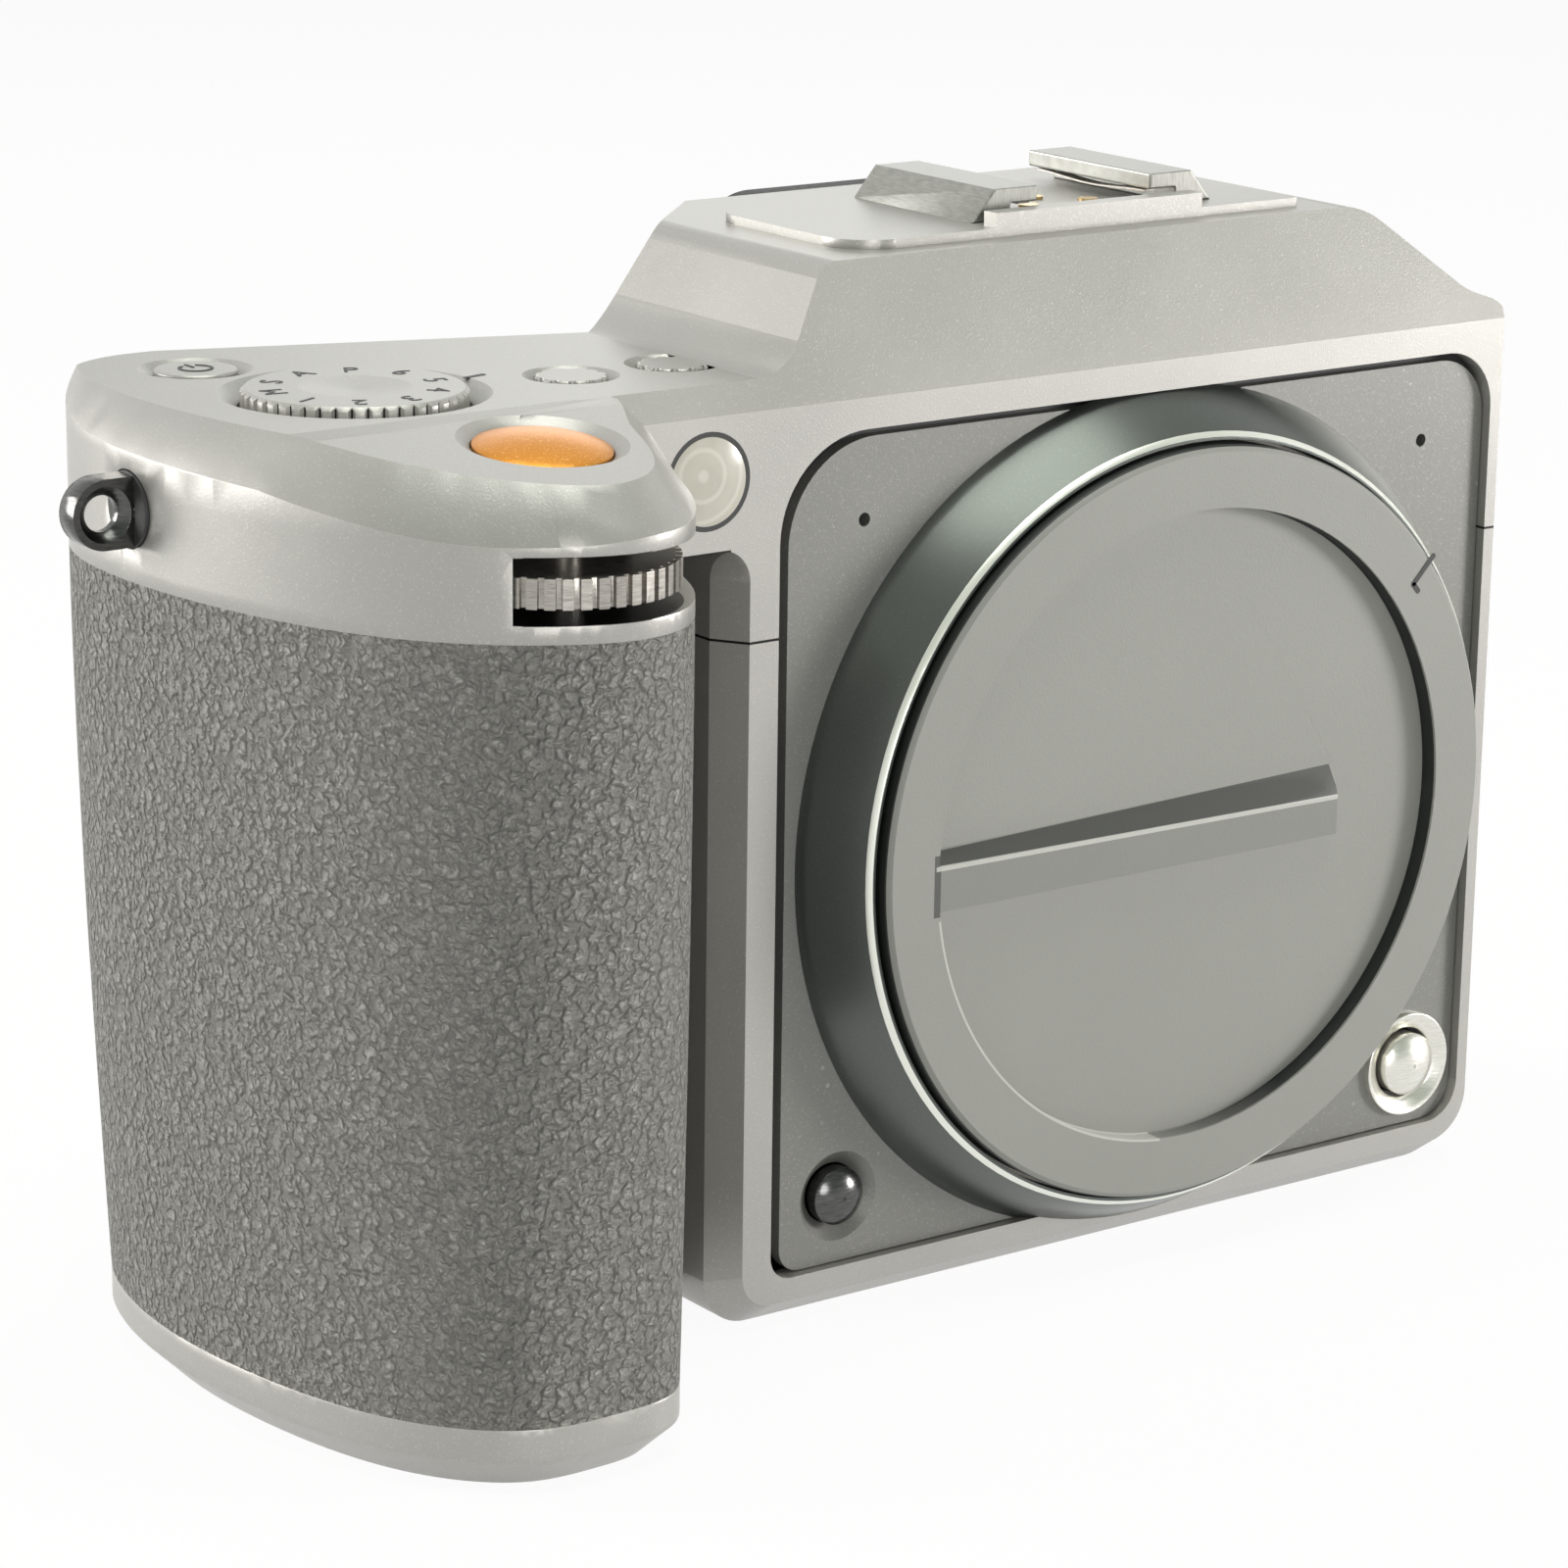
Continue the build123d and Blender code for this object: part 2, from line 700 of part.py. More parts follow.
def side_door(low, high):
    """a thin door with a knuckle at its front edge"""
    x = body_right - door_hinge_inset
    start = door_depth_low + door_panel_start
    panel = block(body_right - door_thickness, body_right, start, door_depth_high - door_gap, low + door_gap,
                  high - door_gap)
    panel = fillet(panel.edges().filter_by(Axis.X).sort_by(Axis.Y)[-2:], door_knuckle)
    web = block(x - door_web[0], x + door_web[1], door_depth_low, start + sliver, low + door_gap,
                high - door_gap)
    knuckle = extrude(top_view(x, door_depth_low, low + door_gap) * Circle(door_knuckle),
                      amount=high - low - 2 * door_gap)
    bore = extrude(top_view(x, door_depth_low, low) * Circle(door_pin_radius + running_gap), amount=high - low)
    return panel + web + knuckle - bore


def hinge_pins():
    """the pins of the two side doors"""
    return as_group(hinge_pin_hole(low, high) for low, high in door_rows())


# Values of the inner frame and of what it holds
chassis_back = 21.0
tunnel_half = (24.5, 19.0)
baffle_front = 8.6
baffle_back = 13.0
baffle_flare = 4.0
sensor_half = (24.8, 21.5)
sensor_glass_half = (23.6, 18.2)
sensor_glass_thickness = 1.0
sensor_thickness = 5.0
board_thickness = 1.6
board_gap = 1.4
board_can = (15.0, 12.0, 2.4)
seat_radius = 31.4


def sensor_face():
    """the depth of the light-sensitive plane behind the frame's front"""
    return flange_to_sensor - flange_height


def chassis():
    """the cast inner frame, bored for the lens throat"""
    solid = block(cavity_left, cavity_right, cavity_depth_low, chassis_back, socket_height, cavity_high)
    throat = front_view(z=axis_height, depth=baffle_back) * Circle(seat_radius)
    solid = solid - extrude(throat, amount=baffle_back)
    half_x, half_z = sensor_half
    seat = block(-half_x, half_x, sensor_face() - sensor_glass_thickness, chassis_back + sliver,
                 axis_height - half_z, axis_height + half_z)
    window = block(-tunnel_half[0], tunnel_half[0], baffle_back - sliver, chassis_back, axis_height - tunnel_half[1],
                   axis_height + tunnel_half[1])
    solid = solid - seat - window
    for room in card_sockets() + port_sockets():
        solid = solid - room
    for depth_place, radius in ((stop_down_place, stop_down_radius), (release_place, release_radius)):
        x, z = depth_place
        face = front_view(x, z, front_button_floor) * Circle(radius + button_gap)
        solid = solid - extrude(face, amount=front_button_floor)
    pin = front_view(*lock_pin_place(), lock_pin_floor) * Circle(lock_pin_radius + running_gap)
    solid = solid - extrude(pin, amount=lock_pin_floor)
    eye = block(-tunnel_width / 2 - rear_wall, tunnel_width / 2 + rear_wall, tunnel_depth - rear_wall,
                chassis_back + overrun, eyepiece_height - tunnel_tall, cavity_high + overrun)
    return solid - eye


def light_baffle():
    """the black frame that keeps stray light out of the throat"""
    outer = front_view(z=axis_height, depth=baffle_back) * Circle(seat_radius)
    solid = extrude(outer, amount=baffle_back - baffle_front)
    half_x, half_z = tunnel_half
    bottom = front_view(z=axis_height, depth=baffle_back) * Rectangle(2 * half_x, 2 * half_z)
    top = front_view(z=axis_height, depth=baffle_front) * Rectangle(2 * half_x + baffle_flare, 2 * half_z + baffle_flare)
    return solid - loft([bottom, top])


def sensor_module():
    """the sensor with its carrier plate"""
    half_x, half_z = sensor_half
    face = sensor_face()
    plate = block(-half_x, half_x, face, face + sensor_thickness, axis_height - half_z, axis_height + half_z)
    return plate


def sensor_glass():
    """the cover glass in front of the sensor"""
    half_x, half_z = sensor_glass_half
    face = sensor_face()
    return block(-half_x, half_x, face - sensor_glass_thickness, face, axis_height - half_z, axis_height + half_z)


def main_board():
    """the circuit board behind the sensor, with its shielded processor"""
    front = chassis_back
    board = block(cavity_left + board_gap, cavity_right - board_gap - card_length, front, front + board_thickness,
                  socket_height + board_gap, rubber_top)
    can = block(-board_can[0], board_can[0], front + board_thickness, front + board_thickness + board_can[2],
                axis_height - board_can[1], axis_height + board_can[1])
    return board + can


# Values of the front plate's small parts
stop_down_place = (-33.4, 10.4)
stop_down_radius = 2.6
stop_down_dish = 4.1
release_place = (33.4, 10.4)
release_radius = 3.0
bezel_radius = 5.0
bezel_wall = 1.6
bezel_height = 1.9
front_button_floor = 6.4
front_button_length = 4.2
front_button_proud = 0.6
front_button_dome = 0.9
front_button_travel = 1.5
mic_reach = (31.8, 70.7)
mic_radius = 0.6
lock_pin_radius = 1.2
lock_pin_orbit = 32.6
lock_pin_angle = -42.0
lock_pin_proud = 1.6
lock_pin_floor = 6.6
contact_orbit = 27.0
contact_count = 7
contact_radius = 0.45
contact_spread = 44.0
contact_block_front = 4.0
contact_block_inner = 25.6
contact_block_margin = 3.6
contact_pin_base = 5.6
mount_screw_orbit = 32.7
mount_screw_count = 6
mount_screw_radius = 1.1
mount_screw_head = 0.8
mount_screw_length = 3.4
mount_screw_start = -12.0


def mic_places():
    """places of the two microphones"""
    return ((-mic_reach[0], mic_reach[1]), (mic_reach[0], mic_reach[1]))


def lock_pin_place():
    """place of the pin that stops a mounted lens from turning"""
    angle = radians(lock_pin_angle)
    return (lock_pin_orbit * cos(angle), axis_height + lock_pin_orbit * sin(angle))


def front_plate():
    """the plate round the lens mount, with its dish, its bezel hole and its microphone holes"""
    seat = plate_recess + plate_thickness
    plate = extrude(front_view(depth=seat) * front_opening(gap_shift=True), amount=plate_thickness)
    hole = front_view(z=axis_height, depth=seat) * Circle(flange_radius)
    plate = plate - extrude(hole, amount=plate_thickness)
    for x, z in mic_places():
        plate = plate - extrude(front_view(x, z, seat) * Circle(mic_radius), amount=plate_thickness)
    x, z = release_place
    plate = plate - extrude(front_view(x, z, seat) * Circle(bezel_radius), amount=plate_thickness)
    x, z = stop_down_place
    dish = loft([front_view(x, z, seat) * Circle(stop_down_radius + button_gap),
                 front_view(x, z, plate_recess) * Circle(stop_down_dish)])
    return plate - dish


def mount_housing():
    """the cone round the lens mount, trimmed where it sinks into the frame's opening"""
    slope = (housing_base_radius - housing_front_radius) / (housing_height + plate_recess)
    back = plate_recess
    points = [
        (flange_radius, 0), (housing_base_radius, 0),
        (housing_front_radius, back + housing_height - housing_chamfer),
        (housing_front_radius - housing_chamfer, back + housing_height), (flange_radius, back + housing_height),
    ]
    cone = front_view(z=axis_height, depth=back) * turned(points)
    deep = extrude(front_view(depth=back) * offset(front_opening(), -sliding_gap), amount=back)
    proud = block(-overrun * 2, overrun * 2, -overrun, 0, axis_height - overrun * 2, axis_height + overrun * 2)
    sunk = cone & deep
    return (cone & proud) + sunk


def lens_mount():
    """the bayonet flange with its inner tabs"""
    seat = cavity_depth_low
    ring = extrude(front_view(z=axis_height, depth=seat) * (Circle(flange_radius) - Circle(throat_radius + throat_undercut)),
                   amount=seat + flange_height)
    lip = extrude(front_view(z=axis_height, depth=tab_thickness - flange_height)
                  * (Circle(throat_radius + throat_undercut) - Circle(throat_radius)), amount=tab_thickness)
    ring = ring + lip
    tabs = [tab(i * 360.0 / tab_count, tab_radius, throat_radius + throat_undercut, tab_angle) for i in range(tab_count)]
    for one in tabs:
        ring = ring + one
    pin = front_view(*lock_pin_place(), seat) * Circle(lock_pin_radius + running_gap)
    ring = ring - extrude(pin, amount=seat + flange_height)
    for shape in mount_screw_places():
        ring = ring - mount_screw(shape)
    return ring


def tab(middle, inner, outer, width, depth=None, thick=None):
    """one bayonet tab, an arc of a ring centred on an angle"""
    thick = tab_thickness if thick is None else thick
    depth = tab_thickness - flange_height if depth is None else depth
    band = Circle(outer) - Circle(inner)
    reach = outer * 2
    low, high = radians(middle - width / 2), radians(middle + width / 2)
    fan = make_face(Polyline((0, 0), (reach * cos(low), reach * sin(low)),
                             (reach * cos(radians(middle)), reach * sin(radians(middle))),
                             (reach * cos(high), reach * sin(high)), close=True))
    return extrude(front_view(z=axis_height, depth=depth) * (band & fan), amount=thick)


def mount_screw_places():
    """places of the screws in the flange"""
    places = []
    for i in range(mount_screw_count):
        angle = radians(mount_screw_start + i * 360.0 / mount_screw_count)
        places.append((mount_screw_orbit * cos(angle), axis_height + mount_screw_orbit * sin(angle)))
    return places


def mount_screw(place):
    """one flange screw, its head flush with the flange"""
    x, z = place
    head = front_view(x, z, mount_screw_head - flange_height) * Circle(mount_screw_radius)
    shank = front_view(x, z, mount_screw_length - flange_height) * Circle(screw_shank_radius)
    return extrude(head, amount=mount_screw_head) + extrude(shank, amount=mount_screw_length)


def contact_block():
    """the curved block at the foot of the throat that carries the lens contacts"""
    arc = tab(-90.0, contact_block_inner, seat_radius - sliding_gap, contact_spread + contact_block_margin,
              baffle_front, baffle_front - contact_block_front)
    for solid in contact_pins(0.0):
        arc = arc - solid
    return arc


def contact_pins(proud):
    """the sprung pins of the lens contacts"""
    pins = []
    for i in range(contact_count):
        angle = radians(-90.0 + contact_spread * (i / (contact_count - 1) - 0.5))
        x, z = contact_orbit * cos(angle), axis_height + contact_orbit * sin(angle)
        face = front_view(x, z, contact_pin_base) * Circle(contact_radius)
        pins.append(extrude(face, amount=contact_pin_base - contact_block_front + proud))
    return pins


def lens_contacts():
    """the row of gold pins, as separate solids"""
    return as_group(contact_pins(contact_radius))


def domed_button(radius, length, dome):
    """a round button with a gently domed end, standing on its drawing plane"""
    body = Cylinder(radius, length, align=(Align.CENTER, Align.CENTER, Align.MIN))
    ball_radius = (radius**2 + dome**2) / (2 * dome)
    ball = Pos(0, 0, length - ball_radius) * Sphere(ball_radius)
    return body & ball


def stop_down_button():
    """the dark button at the lower left of the plate"""
    base = front_button_length - front_button_proud + plate_recess - front_button_dome / 2
    return front_view(stop_down_place[0], stop_down_place[1], base) * domed_button(
        stop_down_radius, front_button_length, front_button_dome)


def release_button():
    """the bright lens release button at the lower right of the plate"""
    base = front_button_length - front_button_proud
    return front_view(release_place[0], release_place[1], base) * domed_button(
        release_radius, front_button_length, front_button_dome)


def release_bezel():
    """the bright dished ring round the lens release button"""
    seat = cavity_depth_low
    inner = bezel_radius - bezel_wall
    points = [(inner, 0), (bezel_radius, 0), (bezel_radius, bezel_height), (inner, bezel_height - bezel_wall / 2)]
    return front_view(release_place[0], release_place[1], seat) * turned(points)


def lock_pin():
    """the pin in the flange that the release button draws back"""
    x, z = lock_pin_place()
    base = lock_pin_floor - front_button_travel - sliding_gap
    length = base + flange_height + lock_pin_proud
    return extrude(front_view(x, z, base) * Circle(lock_pin_radius), amount=length)


def lamp_lens():
    """the milky lens of the focus lamp"""
    return front_view(lamp_place[0], lamp_place[1], lamp_depth - lamp_sunk) * domed_button(
        lamp_radius, lamp_depth, lamp_sunk)


def lamp_bezel():
    """the black ring and reflector behind the lamp's lens"""
    ring = tube(lamp_radius + lamp_bezel_wall, lamp_radius, lamp_depth)
    floor = extrude(Circle(lamp_radius), amount=lamp_sunk)
    return front_view(lamp_place[0], lamp_place[1], lamp_depth) * (ring + floor)


# Values of the body cap
cap_radius = 34.2
cap_front = 6.4
cap_recess_radius = 28.7
cap_recess = 1.7
cap_edge = 0.5
cap_skirt_radius = 28.0
cap_skirt_wall = 1.8
cap_skirt_depth = 3.2
cap_claw_radius = 30.2
cap_claw_thickness = 1.2
cap_claw_angle = 34.0
cap_bar_low = -3.4
cap_bar_high = (1.9, 3.1)
cap_bar_face_low = -3.15
cap_bar_face_high = (0.8, 0.4)
cap_bar_right = 17.4
cap_bar_face_right = 16.7


def body_cap():
    """the cap on the lens mount: a rimmed disc with a finger bar in front and bayonet claws behind"""
    thick = cap_front - flange_height
    disc = extrude(front_view(z=axis_height, depth=-flange_height) * Circle(cap_radius), amount=thick)
    disc = chamfer(disc.edges().filter_by(GeomType.CIRCLE).sort_by(Axis.Y)[:1], cap_edge)
    recess = extrude(front_view(z=axis_height, depth=cap_recess - cap_front) * Circle(cap_recess_radius), amount=overrun)
    disc = disc - recess + cap_bar()
    skirt = front_view(z=axis_height, depth=cap_skirt_depth) * (
        Circle(cap_skirt_radius) - Circle(cap_skirt_radius - cap_skirt_wall))
    disc = disc + extrude(skirt, amount=cap_skirt_depth + flange_height + sliver)
    for i in range(tab_count):
        middle = (i + 0.5) * 360.0 / tab_count
        claw = tab(middle, cap_skirt_radius - cap_skirt_wall / 2, cap_claw_radius, cap_claw_angle,
                   cap_skirt_depth, cap_claw_thickness)
        disc = disc + claw
    pin_room = front_view(*lock_pin_place(), -flange_height) * Circle(lock_pin_radius + cover_gap)
    return disc - extrude(pin_room, amount=lock_pin_proud + cover_gap)


def cap_bar():
    """the finger bar across the cap, wedge-shaped with a long draft on its upper side"""
    left = -sqrt(cap_recess_radius**2 - cap_bar_low**2) - cap_edge
    floor = [(left, cap_bar_low), (cap_bar_right, cap_bar_low), (cap_bar_right, cap_bar_high[1]),
             (left, cap_bar_high[0])]
    face = [(left, cap_bar_face_low), (cap_bar_face_right, cap_bar_face_low),
            (cap_bar_face_right, cap_bar_face_high[1]), (left, cap_bar_face_high[0])]
    back = front_view(z=axis_height, depth=cap_recess - cap_front + sliver) * make_face(Polyline(*floor, close=True))
    front = front_view(z=axis_height, depth=-cap_front) * make_face(Polyline(*face, close=True))
    return loft([back, front], ruled=True)


# Values of the hot shoe
slab_left = -28.8
slab_right = 21.0
slab_front = 7.2
slab_rear = 29.0
slab_height = 0.8
slab_round = 4.5
shoe_slot_half = 9.35
shoe_lip_half = 6.4
shoe_rail_foot_half = 13.6
shoe_rail_top_half = 11.2
shoe_rail_front = 10.4
shoe_rail_rear = 27.8
shoe_floor = 93.1
shoe_under_lip = 94.5
shoe_top = 95.9
shoe_stop_height = 94.4
shoe_stop_left = -13.4
shoe_stop_right = 9.8
shoe_stop_thickness = 1.8
shoe_contact_places = ((0.0, 19.0), (-3.4, 15.4), (3.4, 15.4), (-3.4, 12.9), (3.4, 12.9))
shoe_contact_radius = 0.9
shoe_contact_height = 0.25


def shoe_slab():
    """the thin plate let into the top of the hump, with the front stop of the shoe"""
    points = [(slab_left, slab_front), (slab_right, slab_front), (slab_right, slab_rear), (slab_left, slab_rear)]
    face = outline(points, [slab_round, sliding_gap, slab_round, slab_round])
    slab = extrude(top_view(z=shoe_floor - slab_height) * face, amount=slab_height)
    stop = block(shoe_stop_left, shoe_stop_right, slab_front, slab_front + shoe_stop_thickness,
                 shoe_floor - sliver, shoe_stop_height)
    return slab + stop


def shoe_rails():
    """the two flanged rails that a flash foot slides under"""
    rails = []
    for side in (-1, 1):
        points = [
            (side * shoe_rail_foot_half, shoe_floor), (side * shoe_rail_top_half, shoe_top),
            (side * shoe_lip_half, shoe_top), (side * shoe_lip_half, shoe_under_lip),
            (side * shoe_slot_half, shoe_under_lip), (side * shoe_slot_half, shoe_floor),
        ]
        face = front_view(depth=shoe_rail_rear) * make_face(Polyline(*points, close=True))
        rails.append(extrude(face, amount=shoe_rail_rear - shoe_rail_front))
    return as_group(rails)


def shoe_contacts():
    """the centre contact and its four small neighbours"""
    discs = []
    for x, depth in shoe_contact_places:
        discs.append(extrude(top_view(x, depth, shoe_floor) * Circle(shoe_contact_radius), amount=shoe_contact_height))
    return as_group(discs)


# Controls on the deck
def shutter_button():
    """the shutter release, a flat dome on a stem"""
    head = Pos(0, 0, -shutter_head) * domed_button(shutter_radius, shutter_head + shutter_proud, shutter_dome)
    stem = Pos(0, 0, -shutter_head - shutter_stem) * Cylinder(
        shutter_stem_radius, shutter_stem + sliver, align=(Align.CENTER, Align.CENTER, Align.MIN))
    return on_deck(shutter_place) * (head + stem)


def small_button(place, radius, notched=False):
    """a flat round deck button, with or without a scalloped edge"""
    body = Pos(0, 0, -button_height) * Cylinder(radius, button_height, align=(Align.CENTER, Align.CENTER, Align.MIN))
    body = chamfer(body.edges().filter_by(GeomType.CIRCLE).sort_by(Axis.Z)[-1:], button_gap)
    if notched:
        notch = Cylinder(scallop_radius, button_dish * 2)
        for one in ring_of(notch, scallops, radius):
            body = body - one
    return on_deck(place) * body


def dial_post():
    """the post under the mode dial that lifts it out of its well"""
    base = dial_height - dial_proud + post_length - sliding_gap
    body = Cylinder(post_radius, post_length + post_in_dial - sliding_gap, align=(Align.CENTER, Align.CENTER, Align.MIN))
    return on_deck(dial_place, base) * body


def mode_dial():
    """the mode dial: a fluted edge, a flat ring and a dished middle"""
    profile = [(0, 0), (dial_radius, 0), (dial_radius, dial_height - flute_depth),
               (dial_radius - flute_depth, dial_height), (dial_dip_radius, dial_height), (0, dial_height - dial_dip)]
    body = turned(profile)
    flute = Pos(0, 0, dial_height / 2) * Rot(0, 0, flute_turn) * Box(flute_depth * 2, flute_depth * 2, dial_height + overrun)
    for one in ring_of(flute, dial_flutes, dial_radius + flute_depth / 2):
        body = body - one
    body = body - Cylinder(post_radius + running_gap, post_in_dial, align=(Align.CENTER, Align.CENTER, Align.MIN))
    return on_deck(dial_place, dial_height - dial_proud) * body


def ridged_wheel(radius, thickness, ridges, depth):
    """a flat wheel with bar-shaped ridges round its edge"""
    body = Cylinder(radius - depth, thickness, align=(Align.CENTER, Align.CENTER, Align.MIN))
    pitch = 2 * pi * radius / ridges
    bar = Box(2 * depth, pitch * ridge_share, thickness, align=(Align.MAX, Align.CENTER, Align.MIN))
    bars = ring_of(bar, ridges, radius)
    body = body.fuse(*bars)
    return body - Cylinder(wheel_bore, thickness, align=(Align.CENTER, Align.CENTER, Align.MIN))


def setting_wheel(index, radius, ridges):
    """one setting wheel in its slot"""
    (x, depth), low, thick = wheel_places()[index][:3]
    return Pos(x, depth - socket_setback, low) * ridged_wheel(radius, thick, ridges, ridge_depth)


def wheel_axles():
    """the pins that the two setting wheels turn on, as separate solids"""
    pins = []
    for (x, depth), low, thick, length in wheel_places():
        pins.append(Pos(x, depth - socket_setback, low + thick / 2) * Cylinder(wheel_bore - running_gap, length))
    return as_group(pins)


# Strap lugs
def left_lug_stem():
    """the stem of the left lug inside the shell"""
    return lug_stem(left_lug_seat, -1)


def right_lug_stem():
    """the stem of the right lug inside the shell"""
    return lug_stem(body_right, 1)


def lug_stem(seat, side):
    """the screwed stem behind a lug's collar"""
    face = right_view(seat, lug_depth, lug_height) * Circle(lug_stem_radius)
    return extrude(face, amount=-side * lug_stem_length)


def strap_lug(seat, side):
    """an eye for a strap ring, flat against its collar, with its stem"""
    foot = seat + side * collar_height
    eye_face = front_view(foot + side * lug_reach, lug_height, lug_depth + lug_width / 2)
    plate = Circle(lug_radius) + Pos(-side * lug_reach / 2, 0) * Rectangle(lug_reach, 2 * lug_radius)
    half = Pos(side * (overrun - lug_reach), 0) * Rectangle(2 * overrun, 2 * lug_radius)
    eye = extrude(eye_face * (plate & half), amount=lug_width)
    eye = eye - extrude(eye_face * Circle(lug_hole), amount=lug_width)
    rim = [edge for edge in eye.edges().filter_by(GeomType.CIRCLE) if edge.radius < lug_hole + sliver]
    eye = chamfer(rim, lug_countersink)
    inner = extrude(right_view(seat, lug_depth, lug_height) * Circle(lug_stem_radius), amount=side * (collar_height + sliver))
    return eye + inner + lug_stem(seat, side)


def lug_collar(seat, side):
    """the black washer under a lug"""
    face = Circle(collar_radius) - Circle(lug_stem_radius)
    return extrude(right_view(seat, lug_depth, lug_height) * face, amount=side * collar_height)


def lugs():
    """both strap lugs as separate solids"""
    return as_group([strap_lug(left_lug_seat, -1), strap_lug(body_right, 1)])


def lug_collars():
    """both black washers as separate solids"""
    return as_group([lug_collar(left_lug_seat, -1), lug_collar(body_right, 1)])


def lug_boss_room():
    """the flat spot where the left collar sits on the curved side"""
    face = right_view(left_lug_seat, lug_depth, lug_height) * Circle(collar_radius + sliding_gap)
    return extrude(face, amount=-overrun / 2)


# Grip pieces below the metal top
battery_left = -84.6
battery_right = -62.4
battery_front = -5.0
battery_rear = 29.0
battery_high = 63.0
battery_round = 4.0
battery_plate = 2.6
battery_lip = 1.4
catch_place = (-73.0, -10.2)
catch_size = (9.0, 3.6, 2.2)
catch_travel = 2.2
catch_sunk = 0.4
catch_groove_share = 0.12
foot_band = 2.8
foot_inset = 2.8
foot_heel = 4.0


def battery_face(gap=0.0, lip=0.0):
    """the battery's section seen from above, with room or with its wider bottom plate"""
    width = battery_right - battery_left + 2 * (gap + lip)
    length = battery_rear - battery_front + 2 * (gap + lip)
    middle = ((battery_left + battery_right) / 2, (battery_front + battery_rear) / 2)
    return top_view(middle[0], middle[1]) * RectangleRounded(width, length, battery_round)


def battery_room():
    """the bay that the battery slides into"""
    bay = extrude(battery_face(sliding_gap), amount=battery_high + sliding_gap)
    mouth = extrude(battery_face(sliding_gap, battery_lip), amount=battery_plate + sliding_gap)
    return bay + mouth


def battery():
    """the battery with the plate that closes the bay"""
    pack = extrude(battery_face(), amount=battery_high)
    plate = extrude(battery_face(0, battery_lip), amount=battery_plate)
    return pack + plate


def catch_room():
    """the slot that the battery catch slides in"""
    x, depth = catch_place
    wide, deep, high = catch_size
    return block(x - wide / 2 - sliding_gap, x + wide / 2 + catch_travel + sliding_gap, depth - deep / 2 - sliding_gap,
                 depth + deep / 2 + sliding_gap, -overrun, high + sliding_gap)


def battery_catch():
    """the sliding catch that frees the battery"""
    x, depth = catch_place
    wide, deep, high = catch_size
    solid = block(x - wide / 2, x + wide / 2, depth - deep / 2, depth + deep / 2, catch_sunk, high)
    groove = block(x - wide * catch_groove_share, x + wide * catch_groove_share, depth - deep / 2,
                   depth + deep / 2, catch_sunk - overrun, catch_sunk * 2)
    return solid - groove


def grip_band():
    """the upright part of the foot and the bevel that draws it in towards the ground"""
    band = extrude(Pos(0, 0, foot_band) * grip_face(0.0, 1.0), amount=grip_foot_height - foot_band)
    return band + loft([grip_face(foot_inset, 1.0), Pos(0, 0, foot_band) * grip_face(0.0, 1.0)])


def grip_foot():
    """the metal foot of the grip, bevelled to the ground"""
    inside_rear = body_depth - rear_wall
    solid = grip_band() & block(grip_left, grip_inner, grip_front, inside_rear, 0, grip_foot_height)
    solid = solid + block(grip_inner - foot_heel, grip_inner, finger_depth, inside_rear, 0, grip_foot_height)
    return solid - battery_room() - catch_room()


def grip_rubber():
    """the rubber skin round the grip, from the finger wall round the front to the rear cover"""
    skin = grip_stack(grip_foot_height, rubber_top) - grip_stack(grip_foot_height, rubber_top, rubber_wall)
    skin = skin - finger_wall()
    return skin & block(grip_left, grip_inner, grip_front, body_depth - rear_wall, grip_foot_height, rubber_top)


def finger_wall():
    """the wall behind the fingers, between the grip and the frame"""
    left = grip_inner - rubber_wall - deck_band
    return block(left, frame_left, finger_depth, body_depth - rear_wall, grip_foot_height, recess_ceiling)


def grip_core():
    """the black core under the rubber, with the wall behind the fingers and the battery bay"""
    core = grip_stack(grip_foot_height, rubber_top, rubber_wall)
    core = core & block(grip_left, grip_inner - rubber_wall, grip_front, body_depth - rear_wall, grip_foot_height,
                        rubber_top)
    foot = block(grip_inner, frame_left, finger_depth, body_depth - rear_wall, 0, grip_foot_height)
    return core + finger_wall() + foot - battery_room()


# Values of the back
display_left = -38.6
display_right = 38.4
display_low = 8.0
display_high = 66.5
display_glass_thickness = 1.2
display_thickness = 3.0
display_round = 2.5
menu_column = -46.4
menu_heights = (17.0, 28.0, 39.0, 50.0, 61.0)
menu_size = (6.4, 3.8)
menu_round = 1.6
menu_proud = 0.5
menu_length = 2.2
thumb_left = -84.0
thumb_right = -57.0
thumb_low = 26.0
thumb_high = 66.0
thumb_rise = 3.2
thumb_seat = 0.8


def rear_envelope():
    """the body's and the grip's outline joined, cut to the rear slice"""
    slab = extrude(front_view(depth=body_depth) * body_front_face(), amount=rear_wall)
    grip = grip_stack(grip_foot_height, rubber_top) + grip_band()
    between = block(grip_inner - foot_heel, frame_left + lower_corners[0], body_depth - rear_wall, body_depth, 0, rubber_top)
    slice_box = block(grip_left, body_right, body_depth - rear_wall, body_depth, 0, rubber_top)
    return (slab + grip + between) & slice_box


